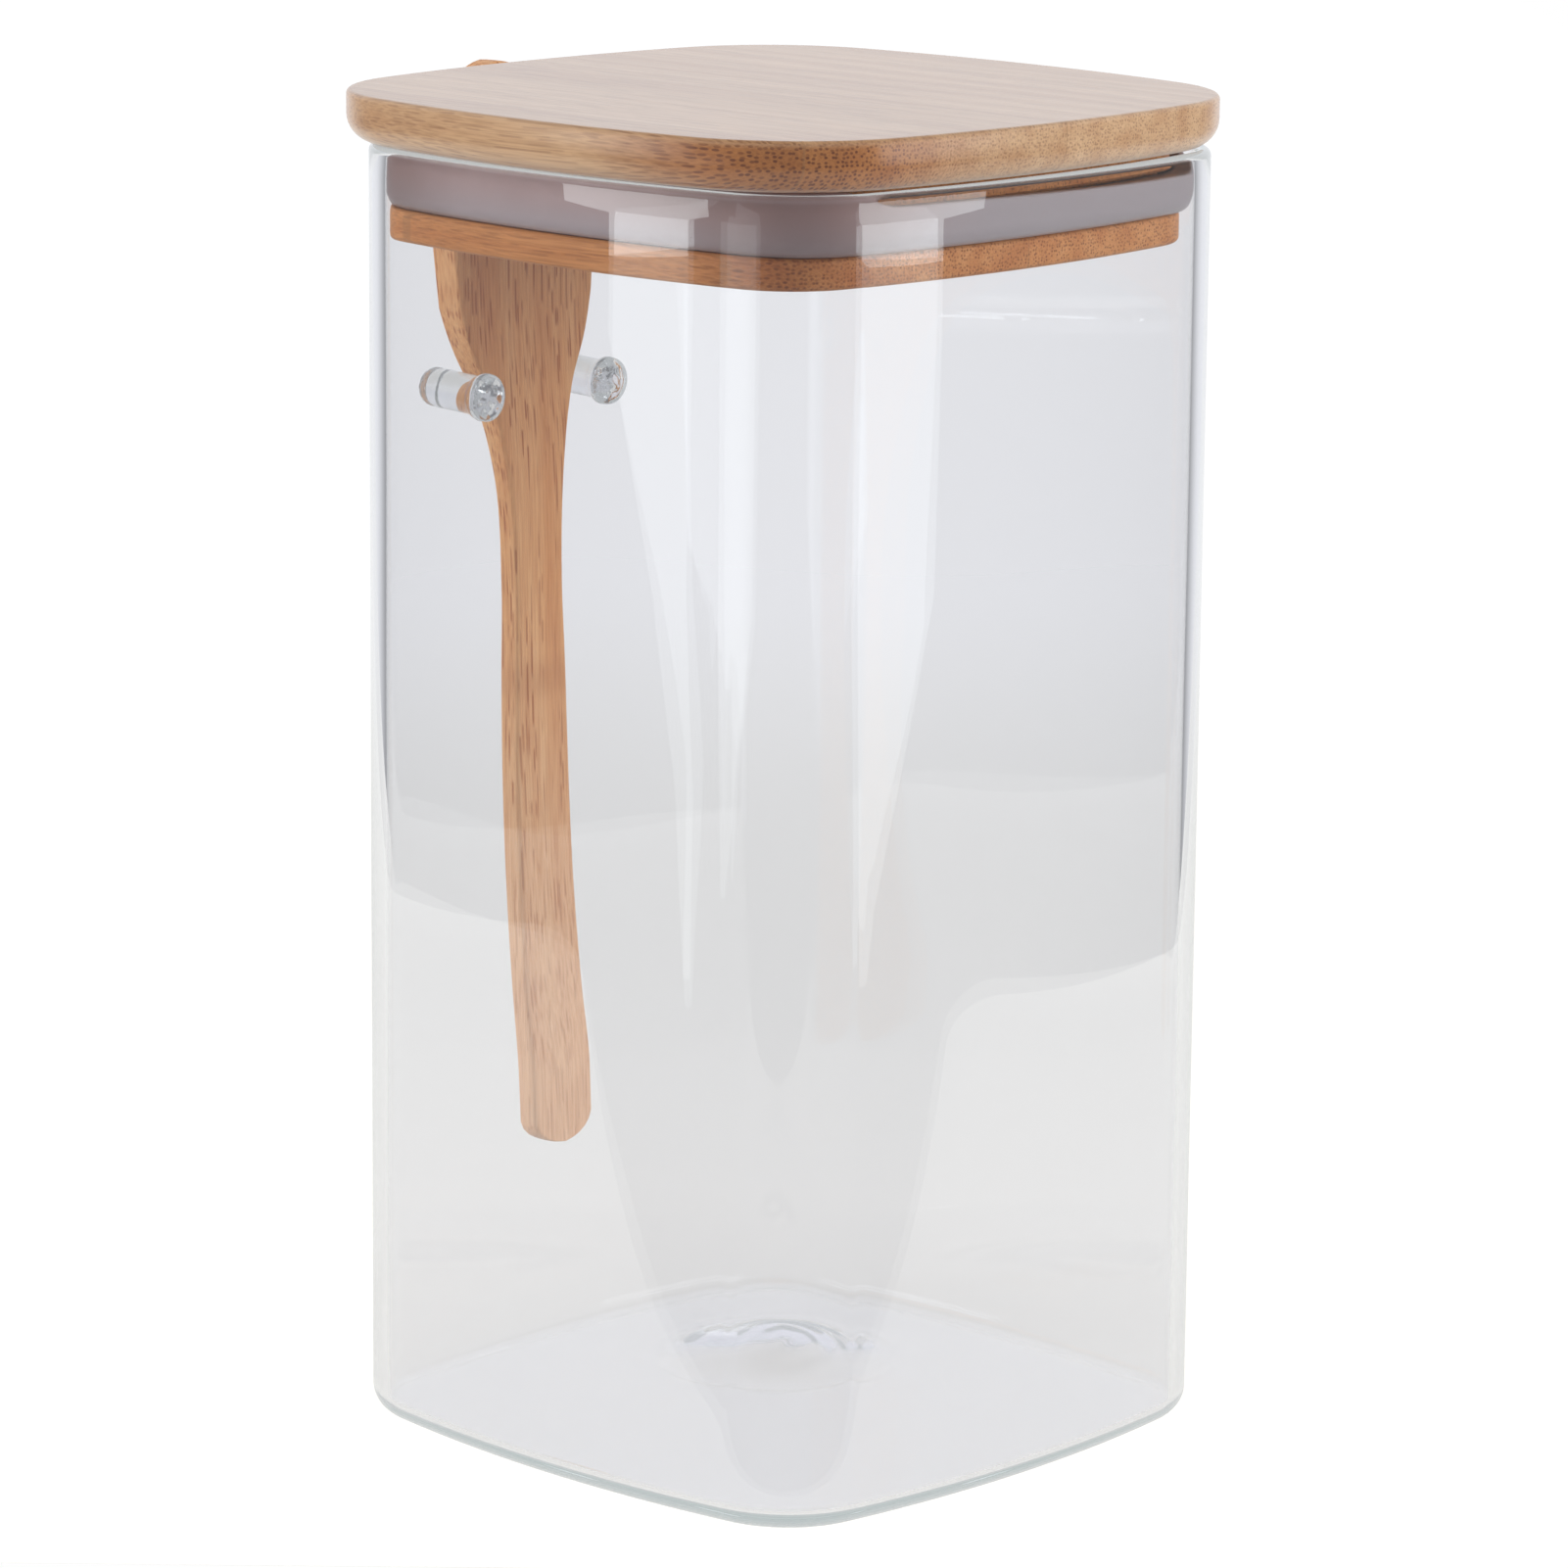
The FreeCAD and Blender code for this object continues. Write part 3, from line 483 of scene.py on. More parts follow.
def board_bamboo(name, tones, corner_tint_and_shade, dots, lacquer):
    """Bamboo of glued strips, from its dark, middle and pale tones and the tint of its near corner, which is partly
    denser bundles and partly painted shade.

    dots is the strength of the bundles on a pale cut end, and lacquer that of the coat.
    """
    material, tree = new_material(name)
    place = add_node(tree, "ShaderNodeSeparateXYZ", {"Vector": object_point(tree)})
    turned = add_node(tree, "ShaderNodeCombineXYZ", {
        "X": place.outputs["X"], "Y": place.outputs["Z"], "Z": place.outputs["Y"]
    })
    along_y = add_node(tree, "ShaderNodeVectorMath", {0: turned.outputs[0], "Scale": 1 / MM}, operation="SCALE")
    grain = add_node(tree, "ShaderNodeGroup", {
        "Millimetres": along_y.outputs[0], "Spacing": 0.63, "Broken": 0.22
    }, node_tree=fibre_group)
    fine = add_node(tree, "ShaderNodeGroup", {
        "Millimetres": along_y.outputs[0], "Spacing": 0.54, "Broken": 0.38
    }, node_tree=fibre_group)
    diagonal = add_node(tree, "ShaderNodeMath", {0: place.outputs["X"], 1: place.outputs["Y"]}, operation="ADD")
    near_corner = add_node(tree, "ShaderNodeMapRange", {
        "Value": diagonal.outputs[0], "From Min": DARK_CORNER_START, "From Max": DARK_CORNER_FULL
    }, interpolation_type="SMOOTHSTEP")
    # The top face is mostly kept out of the corner's bundles and painted shade.
    top_face_spared = add_node(tree, "ShaderNodeMapRange", {
        "Value": place.outputs["Z"], "From Min": LID_FACE - 1.2 * MM, "From Max": LID_FACE - 0.2 * MM,
        "To Min": 1.0, "To Max": 0.3
    })
    dense_and_shaded = add_node(tree, "ShaderNodeMath", {
        0: near_corner.outputs[0], 1: top_face_spared.outputs[0]
    }, operation="MULTIPLY")
    strip = add_node(tree, "ShaderNodeMath", {0: place.outputs["X"], 1: STRIP_WIDTH}, operation="DIVIDE")
    strip_number = add_node(tree, "ShaderNodeMath", {0: strip.outputs[0]}, operation="FLOOR")
    strip_tone = add_node(tree, "ShaderNodeTexWhiteNoise", {"W": strip_number.outputs[0]}, noise_dimensions="1D")
    from_joint = add_node(tree, "ShaderNodeMath", {0: place.outputs["X"], 1: STRIP_WIDTH}, operation="PINGPONG")
    glue = add_node(tree, "ShaderNodeMath", {0: from_joint.outputs[0], 1: GLUE_LINE}, operation="LESS_THAN")
    pith = ramp(tree, grain.outputs["Tone"], list(zip((0.3, 0.5, 0.72), tones)))
    stripped = mix_colour(tree, "MULTIPLY", strip_tone.outputs["Value"], pith, (0.9, 0.87, 0.83, 1))
    # Denser bundles with painted shade: the colour darkens toward the near corner.
    corner_darkened = mix_colour(tree, "MULTIPLY", dense_and_shaded.outputs[0], stripped, (*corner_tint_and_shade, 1))
    hair_shade = ramp(tree, fine.outputs["Fibres"], [(0.32, (0.78, 0.74, 0.69)), (0.62, (1.0, 1.0, 1.0))])
    combed = mix_colour(tree, "MULTIPLY", 1.0, corner_darkened, hair_shade)
    bundle = add_node(tree, "ShaderNodeMix", {
        0: dense_and_shaded.outputs[0], 2: fine.outputs["Bundles"], 3: grain.outputs["Bundles"]
    })
    facing = add_node(tree, "ShaderNodeTexCoord").outputs["Normal"]
    endward = add_node(tree, "ShaderNodeSeparateXYZ", {"Vector": facing})
    cut_end = add_node(tree, "ShaderNodeMath", {0: endward.outputs["Y"]}, operation="ABSOLUTE")
    pale_depth = add_node(tree, "ShaderNodeMapRange", {
        "Value": cut_end.outputs[0], "From Min": 0.4, "From Max": 0.85, "To Min": 0.28, "To Max": dots
    })
    bundle_depth = add_node(tree, "ShaderNodeMapRange", {
        "Value": dense_and_shaded.outputs[0], "To Min": pale_depth.outputs[0], "To Max": 0.95
    })
    bundle_share = add_node(tree, "ShaderNodeMath", {
        0: bundle.outputs[0], 1: bundle_depth.outputs[0]
    }, operation="MULTIPLY")
    dotted = mix_colour(tree, "MIX", bundle_share.outputs[0], combed, DARK_BUNDLE)
    glue_share = add_node(tree, "ShaderNodeMath", {0: glue.outputs[0], 1: 0.35}, operation="MULTIPLY")
    glued = mix_colour(tree, "MIX", glue_share.outputs[0], dotted, (0.3, 0.15, 0.06, 1))
    worn = add_node(tree, "ShaderNodeMapRange", {
        "Value": grain.outputs["Fibres"], "To Min": 0.4, "To Max": 0.56
    })
    relief = add_node(tree, "ShaderNodeMath", {
        0: grain.outputs["Fibres"], 1: bundle.outputs[0]
    }, operation="SUBTRACT")
    sanded = add_node(tree, "ShaderNodeBump", {
        "Height": relief.outputs[0], "Strength": 0.25, "Distance": 0.12 * MM
    })
    lacquered = add_node(tree, "ShaderNodeBsdfPrincipled", {
        "Base Color": glued,
        "Roughness": worn.outputs[0],
        "IOR": 1.5,
        "Coat Weight": lacquer,
        "Coat Roughness": 0.22,
        "Normal": sanded.outputs[0],
    })
    add_node(tree, "ShaderNodeOutputMaterial", {"Surface": lacquered.outputs[0]})
    return material


lid_bamboo = board_bamboo(
    "lid_bamboo", [(0.58, 0.33, 0.165), (0.65, 0.4, 0.215), (0.72, 0.465, 0.26)], (0.7, 0.44, 0.22), 0.48, 0.9
)
plug_bamboo = board_bamboo(
    "plug_bamboo", [(0.58, 0.225, 0.07), (0.65, 0.28, 0.095), (0.72, 0.34, 0.13)], (0.6, 0.46, 0.32), 0.7, 0.0
)
board("lid_board", "lid_top", LID_BOW, LID_CORNER, LID_LOWER_ROUND, LID_UPPER_ROUND, lid_bamboo)
board("plug_board", "lid_plug", JAR_BOW - PLUG_INSET, JAR_CORNER - PLUG_INSET, PLUG_ROUND, PLUG_ROUND, plug_bamboo)
neck_low, neck_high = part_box("lid_neck")
neck_middle = np.array([(neck_low.x + neck_high.x) / 2, (neck_low.y + neck_high.y) / 2, 0])
groove_top = neck_high.z - COLLAR_HEIGHT
neck_profile = [
    (NECK_CORE, neck_low.z), (NECK_INSET + 1 * MM, neck_low.z), (NECK_INSET, neck_low.z), (NECK_INSET, groove_top),
    (COLLAR_INSET + 0.4 * MM, groove_top), (COLLAR_INSET, groove_top + 0.4 * MM), (COLLAR_INSET, neck_high.z),
    (COLLAR_INSET + 1 * MM, neck_high.z), (NECK_CORE, neck_high.z),
]
neck_rings = [
    level_ring(jar_outline, inset, height) if inset < JAR_CORNER else round_ring(jar_outline, inset, height)
    for inset, height in neck_profile
]
neck = skin("lid_collar", [ring + neck_middle for ring in neck_rings])
neck.data.set_sharp_from_angle(angle=math.radians(40))
neck.data.materials.append(plug_bamboo)
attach(neck, "lid")
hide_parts("lid_neck")


# Seal: a ring of milky silicone, stretched into the groove, with a thin skirt above and a soft lip below.
# On the right-hand wall the skirt has slipped down off the collar, and at that end the lip is turned up.
SEAL_WIDTH = 3.6 * MM
SEAL_SKIRT = 1.3 * MM
SEAL_LIP = 2.6 * MM
SEAL_EDGE = 0.35 * MM
SLIP_DOWN = 3.5 * MM
SLIP_START, SLIP_STEEP, SLIP_END = 37 * MM, 27 * MM, -35 * MM
TURN_UP = 3.4 * MM
TURN_UP_SPREAD = 0.7 * MM
TURN_UP_SIDE = math.radians(140)
seal_low, seal_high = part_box("seal_ring")
SEAL_INSET = JAR_HALF - seal_high.x
seal_outline = bowed_outline(
    (seal_high.x, seal_high.x), (JAR_BOW - SEAL_INSET, JAR_BOW - SEAL_INSET), JAR_CORNER - SEAL_INSET, 48, 48, 28
)


def ease(value, start, end):
    """Smooth rise from 0 at start to 1 at end."""
    share = np.clip((value - start) / (end - start), 0, 1)
    return share * share * (3 - 2 * share)


on_right_wall = ease(seal_outline[1][:, 1], 0.1, 0.75)
along_wall = seal_outline[0][:, 0]
slip = on_right_wall * (
    0.78 * ease(along_wall, SLIP_START, SLIP_STEEP) + 0.22 * ease(along_wall, SLIP_STEEP, SLIP_END)
)
seal_facing = np.arctan2(seal_outline[1][:, 1], seal_outline[1][:, 0])
turned_up = np.exp(-((seal_facing - TURN_UP_SIDE) / 0.5) ** 2)
seal_top = seal_high.z - SLIP_DOWN * slip
lip_height = SEAL_LIP + TURN_UP * turned_up
lip_width = SEAL_LIP + TURN_UP_SPREAD * turned_up
seal_rings = [level_ring(seal_outline, SEAL_WIDTH, seal_low.z)]
for turn in quarter_turn(12):
    inset, height = lip_width * (1 - math.sin(turn)), seal_low.z + lip_height * (1 - math.cos(turn))
    seal_rings.append(level_ring(seal_outline, inset, height))
for share in (0.3, 0.6):
    height = seal_low.z + lip_height + share * (seal_top - SEAL_EDGE - seal_low.z - lip_height)
    seal_rings.append(level_ring(seal_outline, 0, height))
for turn in quarter_turn(5):
    inset, height = SEAL_EDGE * (1 - math.cos(turn)), seal_top - SEAL_EDGE * (1 - math.sin(turn))
    seal_rings.append(level_ring(seal_outline, inset, height))
ledge = np.minimum(seal_high.z - COLLAR_HEIGHT - 0.2 * MM, seal_top - 0.3 * MM)
seal_rings += [
    level_ring(seal_outline, SEAL_SKIRT, seal_top),
    level_ring(seal_outline, SEAL_SKIRT, ledge),
    level_ring(seal_outline, SEAL_WIDTH, ledge),
]
seal = skin("silicone_seal", seal_rings, loop=True)
silicone, tree = new_material("milky_silicone")
cloud = add_node(tree, "ShaderNodeTexNoise", {"Vector": object_point(tree), "Scale": 60.0, "Detail": 3.0})
milky = ramp(tree, cloud.outputs["Fac"], [(0.3, (0.375, 0.265, 0.25)), (0.7, (0.46, 0.335, 0.325))])
seal_place = add_node(tree, "ShaderNodeSeparateXYZ", {"Vector": object_point(tree)})
at_lip = add_node(tree, "ShaderNodeMapRange", {
    "Value": seal_place.outputs["Z"], "From Min": seal_high.z - 2 * MM, "From Max": seal_low.z + 1 * MM
}, interpolation_type="SMOOTHSTEP")
lip = mix_colour(tree, "MIX", at_lip.outputs[0], milky, (0.39, 0.33, 0.335, 1))
unsigned = add_node(tree, "ShaderNodeVectorMath", {0: object_point(tree)}, operation="ABSOLUTE")
reach = add_node(tree, "ShaderNodeSeparateXYZ", {"Vector": unsigned.outputs[0]})
diagonal = add_node(tree, "ShaderNodeMath", {0: reach.outputs["X"], 1: reach.outputs["Y"]}, operation="ADD")
# Painted shade: the seal darkens round its corners, leaving the flat sides lighter as if they caught more sheen.
corner_shade_mask = add_node(tree, "ShaderNodeMapRange", {
    "Value": diagonal.outputs[0], "From Min": 62 * MM, "From Max": 80 * MM
}, interpolation_type="SMOOTHSTEP")
corner_shaded = mix_colour(tree, "MULTIPLY", corner_shade_mask.outputs[0], lip, (0.7, 0.63, 0.605, 1))
rightward = add_node(tree, "ShaderNodeMath", {
    0: seal_place.outputs["Y"], 1: seal_place.outputs["X"]
}, operation="SUBTRACT")
slack = add_node(tree, "ShaderNodeMapRange", {
    "Value": rightward.outputs[0], "From Min": 8 * MM, "From Max": 40 * MM
}, interpolation_type="SMOOTHSTEP")
greyed = mix_colour(tree, "MIX", slack.outputs[0], corner_shaded, (0.39, 0.35, 0.36, 1))
dust = add_node(tree, "ShaderNodeTexNoise", {"Vector": object_point(tree), "Scale": 700.0, "Detail": 2.0})
dull = add_node(tree, "ShaderNodeMapRange", {"Value": dust.outputs["Fac"], "To Min": 0.28, "To Max": 0.4})
skin_feel = add_node(tree, "ShaderNodeBump", {
    "Height": dust.outputs["Fac"], "Strength": 0.05, "Distance": 0.1 * MM
})
rubber = add_node(tree, "ShaderNodeBsdfPrincipled", {
    "Base Color": greyed,
    "Roughness": dull.outputs[0],
    "IOR": 1.41,
    "Subsurface Weight": 0.5,
    "Subsurface Radius": (1.0, 0.9, 0.85),
    "Subsurface Scale": 2 * MM,
    "Normal": skin_feel.outputs[0],
})
add_node(tree, "ShaderNodeOutputMaterial", {"Surface": rubber.outputs[0]})
seal.data.materials.append(silicone)
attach(seal, "lid")
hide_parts("seal_ring")


# Spoon: carved from one strip of bamboo and oiled, with the fibres along its length.
# It hangs bowl up between the pegs, its back to the glass, and leans a little to one side.
BOWL_LENGTH = 48.2 * MM
BOWL_HALF_WIDTH = 15 * MM
BOWL_HALF_DEPTH = 3.1 * MM
BOWL_FACE = 9.9 * MM
BOWL_WIDEST = 0.53 * BOWL_LENGTH
TIP_FACE = 12.7 * MM
TIP_HALF_DEPTH = 1.7 * MM
HANDLE_LENGTH = 117.2 * MM
HANDLE_HALF_DEPTH = 2.1 * MM
END_OUT = 2.5 * MM
NECK_OUT = 5.0 * MM
SEAT_HALF_WIDTH = 9 * MM
NECK_HALF_WIDTH = 6.25 * MM
WAIST_HALF_WIDTH = 4.9 * MM
GRIP_HALF_WIDTH = 6.4 * MM
SPOON_EDGE = 0.8 * MM
HOLLOW_DEPTH = 4.6 * MM
HOLLOW_RISE = 0.5 * HOLLOW_DEPTH
HOLLOW_RIM = 1.7 * MM
SPOON_LEAN = math.radians(2)
SPOON_SHIFT = 0.2 * MM
CARVING = 0.07 * MM
CARVING_SIZE = 6 * MM
NODE_HEIGHT = 103 * MM
# Heights between which the spoon's painted reflection grows.
REFLECTION_START = 125 * MM
REFLECTION_FULL = 45 * MM


def spoon_stations():
    """Height over the pegs, half width, distance off the jar and half depth, from the tip to the end."""
    rows = []
    for turn in np.radians([89, 86, 82, 77, 71, 64, 56, 47, 37, 26, 13, 0]):
        narrow, share = math.cos(turn), math.sin(turn)
        depth = TIP_HALF_DEPTH + (BOWL_HALF_DEPTH - TIP_HALF_DEPTH) * narrow
        face = BOWL_FACE + (TIP_FACE - BOWL_FACE) * share ** 2
        height = BOWL_WIDEST + (BOWL_LENGTH - BOWL_WIDEST) * share
        rows.append((height, BOWL_HALF_WIDTH * narrow, face - depth, depth))
    bowl_out = BOWL_FACE - BOWL_HALF_DEPTH
    seat_out, seat_depth = (NECK_OUT + bowl_out) / 2, (HANDLE_HALF_DEPTH + BOWL_HALF_DEPTH) / 2
    rows += [
        (BOWL_LENGTH * 0.27, BOWL_HALF_WIDTH * 0.92, bowl_out, BOWL_HALF_DEPTH),
        (BOWL_LENGTH * 0.14, (SEAT_HALF_WIDTH + BOWL_HALF_WIDTH) / 2, (seat_out + bowl_out) / 2,
         (seat_depth + BOWL_HALF_DEPTH) / 2),
        (0, SEAT_HALF_WIDTH, seat_out, seat_depth),
        (-HANDLE_LENGTH * 0.04, (SEAT_HALF_WIDTH + NECK_HALF_WIDTH) / 2, (seat_out + NECK_OUT) / 2,
         (seat_depth + HANDLE_HALF_DEPTH) / 2),
        (-HANDLE_LENGTH * 0.1, NECK_HALF_WIDTH, NECK_OUT, HANDLE_HALF_DEPTH),
    ]
    for share in np.linspace(0, 1, 7):
        half_width = WAIST_HALF_WIDTH + (GRIP_HALF_WIDTH - WAIST_HALF_WIDTH) * share
        off = NECK_OUT + (END_OUT - NECK_OUT) * share ** 3
        rows.append((-HANDLE_LENGTH * (0.26 + 0.64 * share), half_width, off, HANDLE_HALF_DEPTH))
    for turn in np.radians([8, 25, 42, 56, 68, 78, 85, 89]):
        rise = 0.68 * GRIP_HALF_WIDTH * (1 - math.sin(turn))
        rows.append((rise - HANDLE_LENGTH, GRIP_HALF_WIDTH * math.cos(turn), END_OUT, HANDLE_HALF_DEPTH))
    return np.array(rows)


def through(rows, places):
    """Smooth values between the rows of a table, whose first column falls."""
    known = rows[:, 0]
    slopes = np.gradient(rows[:, 1:], known, axis=0)
    after = np.clip(np.searchsorted(-known, -places), 1, len(known) - 1)
    width = known[after] - known[after - 1]
    share = ((places - known[after - 1]) / width)[:, None]
    first, second = rows[after - 1, 1:], rows[after, 1:]
    pull_first, pull_second = slopes[after - 1] * width[:, None], slopes[after] * width[:, None]
    return (
        first * (2 * share ** 3 - 3 * share ** 2 + 1) + pull_first * (share ** 3 - 2 * share ** 2 + share)
        + second * (3 * share ** 2 - 2 * share ** 3) + pull_second * (share ** 3 - share ** 2)
    )


def hollow_face(x, height):
    """Distance off the jar of the bowl's hollow, which is part of a long egg, or far out beside it."""
    spread = math.sqrt(1 - (HOLLOW_RISE / (HOLLOW_DEPTH + HOLLOW_RISE)) ** 2)
    reach = (BOWL_LENGTH - BOWL_WIDEST - HOLLOW_RIM) / spread
    breadth = (BOWL_HALF_WIDTH - HOLLOW_RIM) / spread
    lift = (TIP_FACE - BOWL_FACE) / BOWL_LENGTH * (height - BOWL_WIDEST)
    inside = 1 - (x / breadth) ** 2 - ((height - BOWL_WIDEST) / reach) ** 2
    return BOWL_FACE + HOLLOW_RISE + lift - (HOLLOW_DEPTH + HOLLOW_RISE) * np.sqrt(np.maximum(inside, 0))


def soft_least(first, second, softness):
    """Lesser of two values, with the change between them rounded off."""
    gap = np.clip(0.5 + 0.5 * (second - first) / softness, 0, 1)
    return second * (1 - gap) + first * gap - softness * gap * (1 - gap)


stations = spoon_stations()
bowl_places = np.linspace(stations[12, 0], stations[-9, 0], 150)
places = np.concatenate([stations[:12, 0], bowl_places, stations[-8:, 0]])
places = np.unique(np.round(places, 7))[::-1]
spoon_rings = []
for height, (half_width, off, half_depth) in zip(places, through(stations, places)):
    edge = min(SPOON_EDGE, half_width * 0.8)
    section = bowed_outline(
        (half_width, half_depth), (half_depth * 6, half_width * 16), edge, 8, 44, 7
    )[0]
    x, out = section[:, 0], off - section[:, 1]
    front = np.clip((out - off) / half_depth, 0, 1)
    scooped = soft_least(out, hollow_face(x, height), 0.5 * MM)
    out = out + (scooped - out) * (front > 0.3)
    ring = np.column_stack([x, -out, np.full(len(x), height)])
    for point in ring:
        point[1] += lumps(point * [1, 1, 0.25], CARVING_SIZE, CARVING)
    spoon_rings.append(ring)
lean = np.array(Matrix.Rotation(SPOON_LEAN, 3, "Y"))
hung = np.array([-SPOON_SHIFT, -JAR_HALF, PEG_HEIGHT])
spoon = skin("bamboo_spoon", [ring @ lean.T + hung for ring in spoon_rings])
spoon_bamboo, tree = new_material("spoon_bamboo")
place = object_point(tree)
millimetres = add_node(tree, "ShaderNodeMapping", {
    "Vector": place, "Rotation": (0, -SPOON_LEAN, 0), "Scale": (1 / MM, 1 / MM, 1 / MM)
})
grain = add_node(tree, "ShaderNodeGroup", {
    "Millimetres": millimetres.outputs[0], "Spacing": 0.64, "Broken": 0.46
}, node_tree=fibre_group)
height = add_node(tree, "ShaderNodeSeparateXYZ", {"Vector": place})
from_node = add_node(tree, "ShaderNodeMath", {0: height.outputs["Z"], 1: NODE_HEIGHT}, operation="SUBTRACT")
node_reach = add_node(tree, "ShaderNodeMath", {0: from_node.outputs[0]}, operation="ABSOLUTE")
growth_node = add_node(tree, "ShaderNodeMapRange", {
    "Value": node_reach.outputs[0], "From Min": 4.5 * MM, "From Max": 0.5 * MM
}, interpolation_type="SMOOTHSTEP")
pith = ramp(tree, grain.outputs["Tone"], [
    (0.3, (0.81, 0.38, 0.14)), (0.5, (0.88, 0.455, 0.185)), (0.72, (0.925, 0.525, 0.24))
])
# Painted reflection: the spoon turns paler towards its low end, where the glass mirrors a pale zone over it, and its
# dark streaks fade there.
painted_reflection = add_node(tree, "ShaderNodeMapRange", {
    "Value": height.outputs["Z"], "From Min": REFLECTION_START, "From Max": REFLECTION_FULL, "To Min": 0.0, "To Max": 0.5
}, interpolation_type="SMOOTHSTEP")
reflection_paled = mix_colour(tree, "MIX", painted_reflection.outputs[0], pith, (0.95, 0.67, 0.47, 1))
hair_shade = ramp(tree, grain.outputs["Fibres"], [(0.32, (0.82, 0.7, 0.61)), (0.62, (1.0, 1.0, 1.0))])
combed = mix_colour(tree, "MULTIPLY", 1.0, reflection_paled, hair_shade)
streak_depth = add_node(tree, "ShaderNodeMapRange", {
    "Value": painted_reflection.outputs[0], "From Max": 0.5, "To Min": 0.88, "To Max": 0.45
})
dark_streak = add_node(tree, "ShaderNodeMath", {
    0: grain.outputs["Bundles"], 1: streak_depth.outputs[0]
}, operation="MULTIPLY")
streaked = mix_colour(tree, "MIX", dark_streak.outputs[0], combed, (0.44, 0.125, 0.03, 1))
knot = add_node(tree, "ShaderNodeMath", {0: growth_node.outputs[0], 1: 0.3}, operation="MULTIPLY")
knotted = mix_colour(tree, "MULTIPLY", knot.outputs[0], streaked, (0.62, 0.46, 0.36, 1))
oiled = add_node(tree, "ShaderNodeMapRange", {"Value": grain.outputs["Fibres"], "To Min": 0.4, "To Max": 0.56})
relief = add_node(tree, "ShaderNodeMath", {
    0: grain.outputs["Fibres"], 1: grain.outputs["Bundles"]
}, operation="SUBTRACT")
carved = add_node(tree, "ShaderNodeBump", {
    "Height": relief.outputs[0], "Strength": 0.3, "Distance": 0.15 * MM
})
wood = add_node(tree, "ShaderNodeBsdfPrincipled", {
    "Base Color": knotted,
    "Roughness": oiled.outputs[0],
    "IOR": 1.48,
    "Normal": carved.outputs[0],
})
add_node(tree, "ShaderNodeOutputMaterial", {"Surface": wood.outputs[0]})
spoon.data.materials.append(spoon_bamboo)
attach(spoon, "spoon")
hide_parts("spoon")


# Studio: a white sheet with round corners under the jar, whose front edge runs just before the near corner.
# A bright backdrop stands behind it, a dim room lies in front, and soft lamps stand left and right.
CAMERA_PLACE = Vector((0.70084, 0.66542, 0.30364))
CAMERA_TARGET = Vector((0, 0, 0.1))
CAMERA_ROLL = math.radians(0.518)
CAMERA_AZIMUTH = math.atan2(CAMERA_PLACE.y, CAMERA_PLACE.x)
SHEET_FRONT = 0.075
SHEET_BACK = 2.4
SHEET_LEFT = 0.415
SHEET_RIGHT = 0.362
SHEET_CORNER = 0.04
SHEET_THICKNESS = 0.2 * MM
SHEET_BELOW = 0.02 * MM
SHEET_BORDER = 0.03
sheet_outline = bowed_outline(
    ((SHEET_FRONT + SHEET_BACK) / 2, (SHEET_LEFT + SHEET_RIGHT) / 2), (20, 20), SHEET_CORNER, 8, 8, 16
)
sheet_turn = np.array(Matrix.Rotation(CAMERA_AZIMUTH, 3, "Z"))
sheet_middle = np.array([(SHEET_FRONT - SHEET_BACK) / 2, (SHEET_RIGHT - SHEET_LEFT) / 2, 0])
sheet = skin("studio_sheet", [(ring + sheet_middle) @ sheet_turn.T for ring in (
    level_ring(sheet_outline, SHEET_BORDER, -SHEET_THICKNESS),
    level_ring(sheet_outline, 0, -SHEET_THICKNESS),
    level_ring(sheet_outline, 0, -SHEET_BELOW),
    level_ring(sheet_outline, SHEET_BORDER, -SHEET_BELOW),
)])
sheet_white, tree = new_material("sheet_white")
path = add_node(tree, "ShaderNodeLightPath")
through_glass = add_node(tree, "ShaderNodeMath", {
    0: path.outputs["Is Transmission Ray"], 1: path.outputs["Is Glossy Ray"]
}, operation="MAXIMUM")
away = add_node(tree, "ShaderNodeVectorMath", {0: object_point(tree)}, operation="LENGTH")
far = add_node(tree, "ShaderNodeMapRange", {
    "Value": away.outputs["Value"], "From Min": 0.25, "From Max": 0.7
}, interpolation_type="SMOOTHSTEP")
plain_glow = add_node(tree, "ShaderNodeMapRange", {"Value": far.outputs[0], "To Min": 0.58, "To Max": 1.04})
# Painted shadow: seen through the glass, the sheet glows dimmer close under the jar.
painted_jar_shadow = add_node(tree, "ShaderNodeMapRange", {
    "Value": away.outputs["Value"], "From Min": 0.04, "From Max": 0.12, "To Min": 0.31, "To Max": 0.375
})
dimmed_glow = add_node(tree, "ShaderNodeMapRange", {
    "Value": far.outputs[0], "To Min": painted_jar_shadow.outputs[0], "To Max": 1.0
})
paper = add_node(tree, "ShaderNodeBsdfDiffuse", {
    "Color": mix_colour(tree, "MIX", far.outputs[0], (0.62, 0.617, 0.595, 1), (0, 0, 0, 1))
})
shown = add_node(tree, "ShaderNodeMath", {
    0: path.outputs["Is Camera Ray"], 1: plain_glow.outputs[0]
}, operation="MULTIPLY")
refracted = add_node(tree, "ShaderNodeMath", {
    0: through_glass.outputs[0], 1: dimmed_glow.outputs[0]
}, operation="MULTIPLY")
glow_share = add_node(tree, "ShaderNodeMath", {0: shown.outputs[0], 1: refracted.outputs[0]}, operation="MAXIMUM")
glow = add_node(tree, "ShaderNodeEmission", {
    "Color": mix_colour(tree, "MIX", far.outputs[0], (1, 0.995, 0.95, 1), (0.985, 0.99, 1, 1)),
    "Strength": glow_share.outputs[0],
})
lit = add_node(tree, "ShaderNodeAddShader", {0: paper.outputs[0], 1: glow.outputs[0]})
add_node(tree, "ShaderNodeOutputMaterial", {"Surface": lit.outputs[0]})
sheet.data.materials.append(sheet_white)

